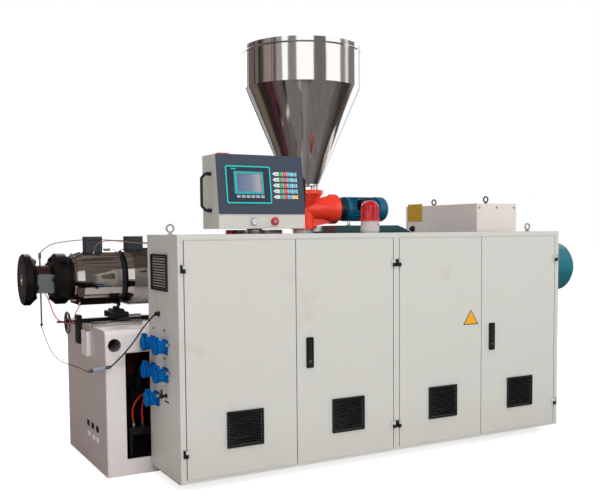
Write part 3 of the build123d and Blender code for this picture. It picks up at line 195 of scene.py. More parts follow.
def finish(name, colour, spread=0.06, metallic=0.0, roughness=0.45, rough_spread=0.1, ior=1.5,
           grain_mm=6, relief_mm=0.05, stretch=(1, 1, 1), stain=None, stain_mm=180,
           stain_from=0.56, coat=0.0, floor_dust=None, parts=()):
    """A surface with a mottled colour, a fine grain in relief and, if named, soft stains.

    parts are (box in mm, colour, metallic, roughness) for the places of one solid that are
    painted or plated otherwise.
    """
    material, tree, shader, place = new_material(name)
    stretched = add(tree, "ShaderNodeMapping", Vector=place, Scale=stretch).outputs[0]
    cloud = add(tree, "ShaderNodeTexNoise", Vector=stretched, Scale=1000 / MOTTLE_MM, Detail=4.0)
    base = linear(colour)
    dark = [c * (1 - spread) for c in base[:3]] + [1.0]
    pale = [min(1.0, c * (1 + spread)) for c in base[:3]] + [1.0]
    tint = add(tree, "ShaderNodeMix", COLOURS, i0=cloud.outputs["Fac"], i6=dark, i7=pale).outputs[2]
    if stain:
        blot = add(tree, "ShaderNodeTexNoise", Vector=stretched, Scale=1000 / stain_mm, Detail=6.0,
                   Roughness=0.62)
        mask = add(tree, "ShaderNodeMapRange", Value=blot.outputs["Fac"], From_Min=stain_from,
                   From_Max=stain_from + STAIN_EDGE)
        tint = add(tree, "ShaderNodeMix", COLOURS, i0=mask.outputs[0], i6=tint, i7=linear(stain)).outputs[2]
    if floor_dust:
        height = add(tree, "ShaderNodeSeparateXYZ", Vector=place).outputs["Z"]
        low = add(tree, "ShaderNodeMapRange", Value=height, From_Min=DUST_HEIGHT_MM * MM, From_Max=0.0,
                  To_Max=DUST_SHARE)
        speck = add(tree, "ShaderNodeMath", {"operation": "MULTIPLY"}, i0=low.outputs[0],
                    i1=cloud.outputs["Fac"])
        tint = add(tree, "ShaderNodeMix", COLOURS, i0=speck.outputs[0], i6=tint,
                   i7=linear(floor_dust)).outputs[2]
    sheen = add(tree, "ShaderNodeMapRange", Value=cloud.outputs["Fac"], To_Min=roughness - rough_spread,
                To_Max=roughness + rough_spread).outputs[0]
    shader.inputs["Metallic"].default_value = metallic
    plating = metallic
    for box, part_colour, part_metallic, part_roughness in parts:
        mask = inside(tree, place, box)
        tint = add(tree, "ShaderNodeMix", COLOURS, i0=mask, i6=tint, i7=linear(part_colour)).outputs[2]
        sheen = add(tree, "ShaderNodeMix", VALUES, i0=mask, i2=sheen, i3=part_roughness).outputs[0]
        if part_metallic != metallic:
            plating = add(tree, "ShaderNodeMix", VALUES, i0=mask, i2=plating, i3=part_metallic).outputs[0]
            tree.links.new(plating, shader.inputs["Metallic"])
    tree.links.new(tint, shader.inputs["Base Color"])
    tree.links.new(sheen, shader.inputs["Roughness"])
    grain = add(tree, "ShaderNodeTexNoise", Vector=stretched, Scale=1000 / grain_mm, Detail=2.0)
    relief = add(tree, "ShaderNodeBump", Height=grain.outputs["Fac"], Distance=relief_mm * MM)
    tree.links.new(relief.outputs[0], shader.inputs["Normal"])
    shader.inputs["IOR"].default_value = ior
    shader.inputs["Coat Weight"].default_value = coat
    shader.inputs["Coat Roughness"].default_value = 0.08
    return material


# The real grains are too fine to show in the render, so they are drawn as coarse as grain_mm says

# Powder-coated sheet steel: baked on in one coat, so the colour is even and the gloss is soft
beige_coat = finish(
    "powder_coat_warm_white", "#CFCEC8", spread=0.015, roughness=0.42, rough_spread=0.05, grain_mm=5,
    relief_mm=0.035, stain="#C2BFB6", stain_mm=420, stain_from=0.6, floor_dust="#A39E94",
    parts=[(BUSHINGS, "#1B1B1B", 0.0, 0.5)])
# On the support's end face the coat is darker than elsewhere: painted shade.
support_coat = finish(
    "powder_coat_support", "#E6DFDD", spread=0.02, roughness=0.38, rough_spread=0.06, grain_mm=5,
    relief_mm=0.04, stain="#BBB5AF", stain_mm=300, stain_from=0.6, floor_dust="#9C968C",
    parts=[(SUPPORT_END_SHADE, "#C2B5B3", 0.0, 0.36)])
guard_coat = finish(
    "powder_coat_guard", "#E0D7D2", spread=0.015, roughness=0.4, rough_spread=0.05, grain_mm=5,
    relief_mm=0.035, stain="#D6CBC4", stain_mm=300, stain_from=0.6)
# Primer-brown inside of the welded support, which gets no top coat: dull and uneven
brown_primer = finish("primer_brown", "#A8643C", spread=0.15, roughness=0.7, grain_mm=9, stain="#2A1B14")
# Moulded ABS, matt black: the tool's spark texture shows as a fine grain
black_abs = finish("black_abs", "#191A1B", spread=0.1, roughness=0.5, grain_mm=2.5, relief_mm=0.04)
# Satin black enamel on cast and cut steel: a soft gloss, with slightly paler blots
black_enamel = finish(
    "black_enamel", "#15161A", spread=0.15, roughness=0.4, grain_mm=8, relief_mm=0.08, stain="#26262A",
    stain_mm=60, stain_from=0.62)
# Blue moulded polyamide: slightly waxy, even colour
blue_nylon = finish(
    "blue_polyamide", "#0460AC", spread=0.1, roughness=0.5, ior=1.12, grain_mm=3, relief_mm=0.03,
    stain="#0B4C8A", stain_mm=40)
# Blued, oil-wiped forged steel: nearly black, with a trace of brown heat tint
forged_steel = finish(
    "blued_forged_steel", "#1F1C1B", spread=0.2, metallic=0.55, roughness=0.4, grain_mm=4, relief_mm=0.06,
    stain="#2C1D18", stain_mm=55, stain_from=0.54)
# Nitrided barrel steel: brown-grey with the fine rings of turning, and pale on top of the feed block
barrel_steel = finish(
    "nitrided_steel", "#4A3E39", spread=0.12, metallic=0.9, roughness=0.35, grain_mm=1.6,
    stretch=(4, 0.4, 0.4), stain="#33261F", stain_mm=80, parts=[(FEED_BLOCK_TOP, "#D6D2CE", 0.5, 0.35)])
# Mirror-polished stainless sheet, rolled: reflections stretch over faint rolling waves
mirror_stainless = finish(
    "polished_stainless", "#FEFDFB", spread=0.03, metallic=1.0, roughness=0.1, rough_spread=0.03,
    grain_mm=110, relief_mm=0.9, stretch=(1, 1, 0.25))
cover_stainless = finish(
    "polished_stainless_covers", "#CBC5C0", spread=0.05, metallic=1.0, roughness=0.09, rough_spread=0.04,
    grain_mm=60, relief_mm=0.5, stretch=(0.3, 1, 1), stain="#8B7F78", stain_mm=70, stain_from=0.62)
# Ground and hard-chromed rods and small bright parts: almost a mirror
hard_chrome = finish(
    "hard_chrome", "#D4D3D2", spread=0.03, metallic=1.0, roughness=0.08, rough_spread=0.03, grain_mm=3,
    relief_mm=0.01)
# Handwheel: bare turned steel that mirrors the dark machine round it, and is smoother at the hub
wheel_finish = finish(
    "turned_steel_wheel", "#D2CECD", spread=0.15, metallic=1.0, roughness=0.34, grain_mm=4, relief_mm=0.03,
    parts=[(WHEEL_HUB, "#C9C7C6", 1.0, 0.15)])
# Zinc-plated steel of small screws and fittings: grey and slightly cloudy
zinc_plate = finish(
    "zinc_plate", "#A9A8A6", spread=0.12, metallic=1.0, roughness=0.32, grain_mm=2, relief_mm=0.03)
# Bright zinc of the lifting eyes and of the ring in the die's bore; the guard's eyes are blackened
eye_finish = finish(
    "zinc_plate_eyes", "#EAE8E6", spread=0.08, metallic=1.0, roughness=0.35, grain_mm=2, relief_mm=0.03,
    parts=[(GUARD_EYES, "#1A1A1C", 0.3, 0.4)])
# Turntable: chromed ring between two red-lacquered end stops
turntable_finish = finish(
    "chromed_turntable", "#8E8B89", spread=0.05, metallic=1.0, roughness=0.12, grain_mm=20, relief_mm=0.3,
    parts=[(LEFT_STOP, "#E22428", 0.0, 0.3), (RIGHT_STOP, "#E22428", 0.0, 0.3)])
# Blower outlets: dull dark sheet with a blue-grey bloom
duct_sheet = finish(
    "weathered_duct_sheet", "#43494F", spread=0.2, metallic=0.4, roughness=0.5, grain_mm=7, relief_mm=0.06,
    stain="#4A5058", stain_mm=40, stain_from=0.52)
# Mica band heater, red-brown from heat, with its cast grey terminal box
mica_band = finish(
    "heated_mica_band", "#38201C", spread=0.25, metallic=0.35, roughness=0.5, grain_mm=4, relief_mm=0.15,
    stain="#221412", stain_mm=35, parts=[(TERMINAL_BOX, "#7C8281", 0.6, 0.45)])
# Gloss enamel on castings: sprayed over a sand-cast skin that still shows through
red_enamel = finish(
    "red_enamel_on_casting", "#FF4028", spread=0.04, roughness=0.25, rough_spread=0.06, grain_mm=10,
    relief_mm=0.18, coat=0.5, stain="#F2361E", stain_mm=70)
teal_enamel = finish(
    "teal_enamel_on_casting", "#095B7C", spread=0.08, roughness=0.32, grain_mm=8, relief_mm=0.15, coat=0.1,
    stain="#07465F", stain_mm=60,
    parts=[(FEEDER_MOTOR_FLANGE, "#0C1C24", 0.0, 0.4), (FEEDER_MOTOR_BOX, "#101A20", 0.0, 0.45)])
sea_enamel = finish(
    "sea_green_enamel", "#176D78", spread=0.06, roughness=0.35, grain_mm=8, relief_mm=0.12, coat=0.2,
    stain="#145F68", stain_mm=90)
green_enamel = finish(
    "dark_green_enamel", "#154244", spread=0.08, roughness=0.33, grain_mm=12, relief_mm=0.15, coat=0.1,
    stain="#123536", stain_mm=110)
grey_enamel = finish(
    "machine_grey_enamel", "#62676A", spread=0.06, roughness=0.4, grain_mm=10, relief_mm=0.12,
    stain="#4E5356", stain_mm=120)
base_enamel = finish(
    "base_grey_enamel", "#8F9190", spread=0.05, roughness=0.45, grain_mm=9, relief_mm=0.1, stain="#7B7D7C",
    stain_mm=220, floor_dust="#6F6A62")
# Printed polyester foil of the operator panel: flat colours with a silky face
panel_foil = finish(
    "panel_foil_slate", "#414957", spread=0.03, ior=1.35, roughness=0.5, rough_spread=0.03, grain_mm=2,
    relief_mm=0.015)
bezel_plastic = finish(
    "bezel_dark_grey", "#303844", spread=0.04, ior=1.35, roughness=0.5, grain_mm=2, relief_mm=0.02)
teal_print = finish(
    "teal_print", "#2CC3C2", spread=0.03, ior=1.35, roughness=0.5, grain_mm=2, relief_mm=0.01)
teal_border = finish(
    "teal_border_print", "#3AA5AA", spread=0.03, ior=1.35, roughness=0.5, grain_mm=2, relief_mm=0.01)
# Moulded keys: clean ABS; the buttons, the small keys and the gauge's body differ on the same solid
key_white = finish(
    "key_white", "#D9DDE2", spread=0.03, roughness=0.4, grain_mm=2, relief_mm=0.01,
    parts=[(CONSOLE_TOP_BUTTON, "#D6403A", 0.0, 0.35), (BEZEL_KEYS, "#A9AFBA", 0.0, 0.4),
           (STOP_BUTTON, "#E02222", 0.0, 0.3), (GAUGE_BODY, "#8E9298", 1.0, 0.2)])
key_green, key_red, key_cyan, key_yellow = (
    finish(f"key_{name}", colour, spread=0.04, roughness=0.4, grain_mm=2, relief_mm=0.01)
    for name, colour in (
        ("green", "#12A95C"), ("red", "#D92A42"), ("cyan", "#31B3C9"), ("yellow", "#E5BE24")))
# Gauge dial of enamelled sheet: smooth and even
dial_white = finish("enamelled_dial", "#D8DEE8", spread=0.01, roughness=0.3, grain_mm=2, relief_mm=0.005)
# Centre of the stop button: moulded, slightly glossy
slate_plastic = finish("slate_blue_plastic", "#7F97A0", spread=0.05, roughness=0.35, grain_mm=2)
# Beacon: lens of tinted polycarbonate with paler upright streaks, on a pale base with a red collar
lens_red = finish(
    "red_polycarbonate", "#B4131F", spread=0.2, roughness=0.12, rough_spread=0.03, ior=1.58, grain_mm=25,
    relief_mm=0.1, stretch=(1, 1, 0.25), stain="#E2606C", stain_mm=22, stain_from=0.55, coat=0.4)
lens_base = finish(
    "pale_grey_plastic", "#C2BDBC", spread=0.02, roughness=0.35, grain_mm=3, relief_mm=0.02,
    parts=[(BEACON_COLLAR, "#C8242E", 0.0, 0.3)])
# Plates, prints and caps: each painted or moulded in one colour
signal_red = finish("signal_red_print", "#D0242C", spread=0.03, roughness=0.4, grain_mm=2)
plate_yellow = finish(
    "yellow_plate", "#C9991C", spread=0.06, roughness=0.45, grain_mm=3, stain="#B48518", stain_mm=30)
plate_orange = finish("orange_plate", "#F0A818", spread=0.03, roughness=0.4, grain_mm=3)
plate_dark = finish("dark_plate", "#22252B", spread=0.08, roughness=0.45, grain_mm=3)
white_caps = finish("white_caps", "#FFFFFF", spread=0.01, roughness=0.3, grain_mm=3, coat=0.5)
# Sheaths of the cords: smooth PVC and silicone; braided steel and woven glass have a finer grain
sheath_black = finish("black_pvc_sheath", "#0C0C0C", spread=0.1, ior=1.35, roughness=0.45, grain_mm=2)
sheath_red = finish("red_silicone_sheath", "#B51E2C", spread=0.08, roughness=0.4, grain_mm=2)
hose_red = finish("red_hose", "#D23322", spread=0.08, roughness=0.35, grain_mm=2)
sheath_steel = finish(
    "braided_steel_sheath", "#6F6C69", spread=0.2, metallic=0.9, roughness=0.4, grain_mm=1.5, relief_mm=0.2)
sheath_brown = finish("brown_glass_sheath", "#8A6A58", spread=0.12, roughness=0.6, grain_mm=1.5)
# Turned stainless stems, and the transducer's pale sleeve
sensor_finish = finish(
    "stainless_sensor", "#8F8C8A", spread=0.08, metallic=1.0, roughness=0.25, grain_mm=3,
    parts=[(TRANSDUCER_SLEEVE, "#969DAE", 0.2, 0.35)])
# Blackened steel manifold with nickel-plated brass nipples
manifold_finish = finish(
    "blackened_manifold", "#17181A", spread=0.1, metallic=0.3, roughness=0.4, grain_mm=3,
    parts=[(NIPPLES, "#C9C3B8", 1.0, 0.2)])


def screen_glass():
    """Screen glass: a pale blue-grey picture under a glossy sheet, with a painted reflection that brightens
    it to pink towards +X.
    """
    picture_left, picture_right = 370, 505
    material, tree, shader, place = new_material("screen_glass")
    along = add(tree, "ShaderNodeSeparateXYZ", Vector=place).outputs["X"]
    share = add(tree, "ShaderNodeMapRange", Value=along, From_Min=picture_left * MM,
                From_Max=picture_right * MM)
    tone_and_reflection = add(tree, "ShaderNodeValToRGB", Fac=share.outputs[0])
    # Slate blue is the screen's own tone; the paler and pink stops towards +X are a painted reflection.
    stops = [(0.0, "#566984"), (0.55, "#717E95"), (0.85, "#9C9CAB"), (1.0, "#C08484")]
    elements = tone_and_reflection.color_ramp.elements
    while len(elements) < len(stops):
        elements.new(0.5)
    for element, (position, colour) in zip(elements, stops):
        element.position = position
        element.color = linear(colour)
    tree.links.new(tone_and_reflection.outputs["Color"], shader.inputs["Base Color"])
    shader.inputs["Roughness"].default_value = 0.08
    shader.inputs["IOR"].default_value = 1.52
    return material


CAD_FINISHES = {
    "left_cabinet": beige_coat, "right_cabinet": beige_coat, "console_case": beige_coat,
    "coupling_guard": guard_coat, "front_support": support_coat, "cabinet_hinges": black_abs,
    "side_grille": black_abs, "console_handles": black_abs, "socket_housings": blue_nylon,
    "barrel": barrel_steel, "barrel_carriage": black_enamel, "barrel_flange": forged_steel,
    "die_adapter": forged_steel, "heater_covers": cover_stainless, "cooling_ducts": duct_sheet,
    "neck_heater": mica_band, "hopper": mirror_stainless, "slide_rods": hard_chrome,
    "guide_plate": black_enamel, "handwheel": wheel_finish, "feeder_casting": red_enamel,
    "feeder_motor": teal_enamel, "main_motor": sea_enamel, "motor_cowl": sea_enamel,
    "gearbox": green_enamel, "reducer": grey_enamel, "base_frame": base_enamel,
    "console_panel": panel_foil, "console_screen": bezel_plastic, "console_controls": key_white,
    "console_turntable": turntable_finish, "beacon_base": lens_base, "beacon_dome": lens_red,
    "lifting_eyes": eye_finish, "valve_unit": black_enamel, "hose_manifold": manifold_finish,
    "pressure_sensor": sensor_finish, "sensor_capillary": sheath_steel, "sensor_cable": sheath_black,
    "thermocouple_lead": sheath_steel, "heater_lead": sheath_brown, "red_heater_lead": sheath_red,
    "support_hoses": hose_red,
}


def dress_cad_nodes():
    """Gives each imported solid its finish; doors and lids go by the form of their names."""
    for name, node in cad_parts.items():
        if name in CAD_FINISHES:
            material = CAD_FINISHES[name]
        elif name.endswith(("_grille", "_handle", "_lever")):
            material = black_abs
        elif name.startswith("door_"):
            material = beige_coat
        else:
            material = blue_nylon
        node.data.materials.clear()
        node.data.materials.append(material)


def link(obj):
    """Puts a new object into the scene."""
    bpy.context.scene.collection.objects.link(obj)
    return obj


def piece(name, bm, material, body, smooth_below=35):
    """Turns a bmesh in millimetres into a finished object that rides on a body."""
    bmesh.ops.remove_doubles(bm, verts=bm.verts, dist=1e-3)
    bmesh.ops.recalc_face_normals(bm, faces=bm.faces)
    bmesh.ops.scale(bm, vec=(MM, MM, MM), verts=bm.verts)
    mesh = bpy.data.meshes.new(name)
    bm.to_mesh(mesh)
    bm.free()
    mesh.materials.append(material)
    for polygon in mesh.polygons:
        polygon.use_smooth = True
    mesh.set_sharp_from_angle(angle=math.radians(smooth_below))
    obj = link(bpy.data.objects.new(name, mesh))
    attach(obj, body)
    return obj


def slab(bm, outline, low, high, place=Matrix()):
    """Prism of a flat outline between two heights, put in place by a matrix."""
    rings = [[bm.verts.new(place @ Vector((x, y, z))) for x, y in outline] for z in (low, high)]
    count = len(outline)
    for i in range(count):
        j = (i + 1) % count
        bm.faces.new((rings[0][i], rings[0][j], rings[1][j], rings[1][i]))
    bm.faces.new(rings[0][::-1])
    bm.faces.new(rings[1])


def rounded(width, height, radius, x=0.0, y=0.0, steps=5):
    """Outline of a rectangle with round corners, centred on (x, y)."""
    points = []
    for turn, sx, sy in ((0, 1, 1), (90, -1, 1), (180, -1, -1), (270, 1, -1)):
        for i in range(steps + 1):
            a = math.radians(turn + 90 * i / steps)
            points.append((x + sx * (width / 2 - radius) + radius * math.cos(a),
                           y + sy * (height / 2 - radius) + radius * math.sin(a)))
    return points


def sheet(bm, low, high):
    """Plain box between two corners."""
    slab(bm, [(low[0], low[1]), (high[0], low[1]), (high[0], high[1]), (low[0], high[1])], low[2], high[2])


def ring_slab(bm, outer, inner, low, high, place):
    """Flat frame between two outlines that have as many points."""
    rings = [[bm.verts.new(place @ Vector((x, y, z))) for x, y in outline]
             for outline, z in ((outer, low), (outer, high), (inner, high), (inner, low))]
    count = len(outer)
    for a, b in zip(rings, rings[1:] + rings[:1]):
        for i in range(count):
            j = (i + 1) % count
            bm.faces.new((a[i], a[j], b[j], b[i]))


def turned(bm, profile, place, steps):
    """Solid of revolution about local Z from (radius, height) points."""
    rings = []
    for r, z in profile:
        if r == 0:
            rings.append([bm.verts.new(place @ Vector((0, 0, z)))])
        else:
            rings.append([bm.verts.new(place @ Vector((r * math.cos(2 * math.pi * i / steps),
                                                       r * math.sin(2 * math.pi * i / steps), z)))
                          for i in range(steps)])
    for a, b in zip(rings, rings[1:]):
        for i in range(steps):
            j = (i + 1) % steps
            around = [a[i % len(a)], a[j % len(a)], b[j % len(b)], b[i % len(b)]]
            kept = [v for k, v in enumerate(around) if v not in around[:k]]
            if len(kept) > 2:
                bm.faces.new(kept)


def flat_piece(name, outlines, low, high, place, material, body="frame"):
    """A piece of flat plates, all between the same two heights."""
    bm = bmesh.new()
    for outline in outlines:
        slab(bm, outline, low, high, place)
    return piece(name, bm, material, body)


def framed_piece(name, outer, inner, low, high, place, material, body="frame"):
    """A piece that is one flat frame."""
    bm = bmesh.new()
    ring_slab(bm, outer, inner, low, high, place)
    return piece(name, bm, material, body)


def turned_piece(name, profile, place, material, body="frame", steps=40):
    """A piece that is one turned solid."""
    bm = bmesh.new()
    turned(bm, profile, place, steps)
    return piece(name, bm, material, body)


def facing(point, direction):
    """Matrix whose local Z points along a direction, at a point."""
    aim = Vector(direction).to_track_quat("Z", "Y").to_matrix().to_4x4()
    return Matrix.Translation(Vector(point)) @ aim


def turn_z(degrees):
    """Turn about local Z."""
    return Matrix.Rotation(math.radians(degrees), 4, "Z")


def panel_place():
    """Matrix of the console's sloping panel: local X to the right, Y up the slope, Z outwards."""
    rise = Vector((0, PANEL_SETBACK, CONSOLE_TOP - PANEL_FOOT)).normalized()
    out = Vector((1, 0, 0)).cross(rise)
    centre = Vector((CONSOLE_X, CONSOLE_FRONT + PANEL_SETBACK / 2, (PANEL_FOOT + CONSOLE_TOP) / 2))
    turn = Matrix((Vector((1, 0, 0)), rise, out)).transposed().to_4x4()
    return Matrix.Translation(centre + out * PANEL_THICKNESS) @ turn


def front_place(y):
    """Matrix of an upright face towards the operator: local X to the right, Y up, Z outwards."""
    return Matrix.Translation((0, y, 0)) @ Matrix.Rotation(math.radians(90), 4, "X")


def end_place(x):
    """Matrix of an upright face towards the die: local X towards the back, Y up, Z outwards."""
    turn = Matrix((Vector((0, -1, 0)), Vector((0, 0, 1)), Vector((-1, 0, 0)))).transposed().to_4x4()
    return Matrix.Translation((x, 0, 0)) @ turn


def node_tree(name, sizes):
    """An empty geometry tree with named inputs; sizes are (name, socket type) pairs."""
    tree = bpy.data.node_groups.new(name, "GeometryNodeTree")
    face = tree.interface
    face.new_socket("Points", in_out="INPUT", socket_type="NodeSocketGeometry")
    for size, kind in sizes + (("Finish", "Material"),):
        face.new_socket(size, in_out="INPUT", socket_type="NodeSocket" + kind)
    face.new_socket("Mesh", in_out="OUTPUT", socket_type="NodeSocketGeometry")
    return tree, add(tree, "NodeGroupInput").outputs


def close_tree(tree, geometry, finish_socket):
    """Ends a tree: real copies, then their finish."""
    real = add(tree, "GeometryNodeRealizeInstances", Geometry=geometry)
    coated = add(tree, "GeometryNodeSetMaterial", Geometry=real.outputs[0], Material=finish_socket)
    add(tree, "NodeGroupOutput", Mesh=coated.outputs[0])
    return tree


def on_points(tree, points, part):
    """Copies of a part, with its Z along each point's aim and its X along the point's roll."""
    aim = add(tree, "GeometryNodeInputNamedAttribute", {"data_type": "FLOAT_VECTOR"}, Name="aim")
    roll = add(tree, "GeometryNodeInputNamedAttribute", {"data_type": "FLOAT_VECTOR"}, Name="roll")
    turn = add(tree, "FunctionNodeAlignRotationToVector", {"axis": "Z"}, Vector=aim.outputs[0])
    turn = add(tree, "FunctionNodeAlignRotationToVector", {"axis": "X", "pivot_axis": "Z"},
               Rotation=turn.outputs[0], Vector=roll.outputs[0])
    return add(tree, "GeometryNodeInstanceOnPoints", Points=points, Instance=part,
               Rotation=turn.outputs[0]).outputs[0]


def bolt_tree():
    """A washer and a head with flats on every point."""
    washer_thickness = 2.4
    tree, given = node_tree("bolt_heads", (("Head radius", "Float"), ("Head height", "Float"),
                                           ("Washer radius", "Float"), ("Flats", "Int")))
    head = add(tree, "GeometryNodeMeshCylinder", Vertices=given["Flats"], Radius=given["Head radius"],
               Depth=given["Head height"])
    washer = add(tree, "GeometryNodeMeshCylinder", Vertices=16, Radius=given["Washer radius"],
                 Depth=washer_thickness * MM)
    both = add(tree, "GeometryNodeJoinGeometry")
    tree.links.new(head.outputs["Mesh"], both.inputs[0])
    tree.links.new(washer.outputs["Mesh"], both.inputs[0])
    return close_tree(tree, on_points(tree, given["Points"], both.outputs[0]), given["Finish"])


def slot_tree():
    """A dark slot of a fan cover on every point, long along the point's roll."""
    tree, given = node_tree("cover_slots", (("Slot length", "Float"), ("Slot width", "Float"),
                                            ("Slot depth", "Float")))
    size = add(tree, "ShaderNodeCombineXYZ", X=given["Slot length"], Y=given["Slot width"],
               Z=given["Slot depth"])
    bar = add(tree, "GeometryNodeMeshCube", Size=size.outputs[0])
    return close_tree(tree, on_points(tree, given["Points"], bar.outputs[0]), given["Finish"])


heads_tree = bolt_tree()
slots_tree = slot_tree()


def made_by_nodes(name, places, tree, inputs, body):
    """Runs a node tree on (point, aim, roll) places in mm and keeps the result as a plain mesh."""
    mesh = bpy.data.meshes.new(name + "_points")
    mesh.from_pydata([tuple(Vector(point) * MM) for point, _, _ in places], [], [])
    for attribute, column in (("aim", 1), ("roll", 2)):
        layer = mesh.attributes.new(attribute, "FLOAT_VECTOR", "POINT")
        layer.data.foreach_set("vector", [c for row in places for c in Vector(row[column]).normalized()])
    source = link(bpy.data.objects.new(name + "_points", mesh))
    modifier = source.modifiers.new("build", "NODES")
    modifier.node_group = tree
    sockets = {s.name: s.identifier for s in tree.interface.items_tree if s.in_out == "INPUT"}
    for key, value in inputs.items():
        modifier[sockets[key]] = value
    graph = bpy.context.evaluated_depsgraph_get()
    graph.update()
    result = bpy.data.meshes.new_from_object(source.evaluated_get(graph), depsgraph=graph)
    bpy.data.objects.remove(source)
    result.name = name
    obj = link(bpy.data.objects.new(name, result))
    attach(obj, body)
    return obj


def bolts(name, places, body, radius, height, finish_used=zinc_plate, flats=6, washer=1.45):
    """Bolt heads at (point, direction) places; sizes in millimetres, the washer as a share of the radius."""
    any_roll = (0.31, 0.52, 0.79)
    rows = [(point, direction, any_roll) for point, direction in places]
    inputs = {"Head radius": radius * MM, "Head height": 2 * height * MM,
              "Washer radius": radius * washer * MM, "Flats": flats, "Finish": finish_used}
    return made_by_nodes(name, rows, heads_tree, inputs, body)


def circle_places(centre, axis, radius, count, start=0.0):
    """(point, axis, way outwards) places evenly round a circle."""
    here = facing(centre, axis)
    places = []
    for i in range(count):
        a = math.radians(start + 360 * i / count)
        spoke = Vector((math.cos(a), math.sin(a), 0))
        places.append((here @ (spoke * radius), Vector(axis), here.to_3x3() @ spoke))
    return places


def bolt_circle(name, centre, axis, radius, count, head, height, finish_used=zinc_plate, start=0.0):
    """Bolt heads evenly round a circle on the fixed machine."""
    places = [(point, way) for point, way, _ in circle_places(centre, axis, radius, count, start)]
    return bolts(name, places, "frame", head, height, finish_used)


def fan_slots(name, places, length, width):
    """Dark slots of a fan cover, centred on (point, axis, way outwards) places."""
    inputs = {"Slot length": length * MM, "Slot width": width * MM, "Slot depth": SLOT_DEPTH * MM,
              "Finish": plate_dark}
    return made_by_nodes(name, places, slots_tree, inputs, "frame")


def console_fittings():
    """Screen, keys, gauge and stop button of the operator console."""
    place = panel_place()
    framed_piece("screen_frame_line", rounded(249, 191, 11, -73, -3), rounded(235, 177, 6, -73, -3),
                 3, 4.9, place, teal_print, "console")
    framed_piece("screen_border", rounded(162, 114, 1.5, -71.5, 7), rounded(132, 91, 1, -69.5, 7),
                 2.6, 4.7, place, teal_border, "console")
    flat_piece("screen_picture", [rounded(135, 93, 1, -68, 7)], 1.9, 3.2, place, screen_glass(), "console")
    flat_piece("screen_lamp", [rounded(28, 5, 1.5, -152, 76)], 3.8, 4.6, place, teal_print, "console")

    rows = [55.5 - 29.5 * row for row in range(5)]
    label, start, stop, slower, faster = 84, 110, 135, 160, 188
    for name, u, heights, colour in (
            ("start_keys", start, rows, key_green), ("stop_keys", stop, rows, key_red),
            ("slower_keys", slower, rows, key_cyan), ("faster_keys", faster, rows[:4], key_cyan),
            ("reset_key", faster, rows[4:], key_yellow)):
        keys = [rounded(21, 17, 3, u, v) for v in heights]
        flat_piece(name, keys, 1.2, 3.3, place, colour, "console")
    signs = bmesh.new()
    for v in rows:
        slab(signs, rounded(1.6, 7, 0.7, start, v), 3.2, 3.7, place)
        ring_slab(signs, rounded(7, 7, 3.4, stop, v), rounded(4.4, 4.4, 2.1, stop, v), 3.2, 3.7, place)
        slab(signs, [(slower + 4, v + 2.6), (slower, v - 3), (slower - 4, v + 2.6)], 3.2, 3.7, place)
        slab(signs, [(faster + 4, v - 2.6), (faster, v + 3), (faster - 4, v - 2.6)], 3.2, 3.7, place)
    piece("key_signs", signs, key_white, "console")
    marks = bmesh.new()
    for v in rows:
        ring_slab(marks, rounded(9, 9, 4.4, label, v), rounded(7, 7, 3.4, label, v), 1.4, 1.8, place)
    piece("row_signs", marks, plate_dark, "console")

    gauge = facing((GAUGE_X, CONSOLE_FRONT - 12, KNOB_Z), (0, -1, 0))
    turned_piece("gauge_rim", [(18.4, -8), (18.4, 0.5), (17.2, 2), (14.5, 2), (14, 0.3)], gauge,
                 hard_chrome, "console")
    turned_piece("gauge_dial", [(0, 0.6), (14.4, 0.6), (14.4, -0.5)], gauge, dial_white, "console")
    needle = bmesh.new()
    slab(needle, [(-0.7, -4), (0.7, -4), (0.3, 11), (-0.3, 11)], 0.9, 1.3,
         gauge @ Matrix.Rotation(0.8, 4, "Z"))
    turned(needle, [(0, 1.8), (1.8, 1.8), (1.8, 0.6)], gauge, 16)
    for i in range(9):
        slab(needle, [(-0.4, 11.2), (0.4, 11.2), (0.4, 13.6), (-0.4, 13.6)], 0.5, 0.8,
             gauge @ turn_z(-120 + 30 * i))
    piece("gauge_needle", needle, plate_dark, "console")

    button = facing((STOP_X, CONSOLE_FRONT - 14, KNOB_Z), (0, -1, 0))
    turned_piece("stop_centre", [(0, 2.4), (7.5, 2.4), (9.5, 1.2), (9.5, -1)], button, slate_plastic,
                 "console", 32)
    turned_piece("stop_ring", [(20.6, -9), (20.6, -1), (18.5, 1.6), (12, 2.2), (10.2, 1.0), (10.2, -0.5)],
                 button, signal_red, "console")


def triangle(x, foot, width, height):
    """Upright triangle on the middle of its foot."""
    return [(x - width / 2, foot), (x + width / 2, foot), (x, foot + height)]


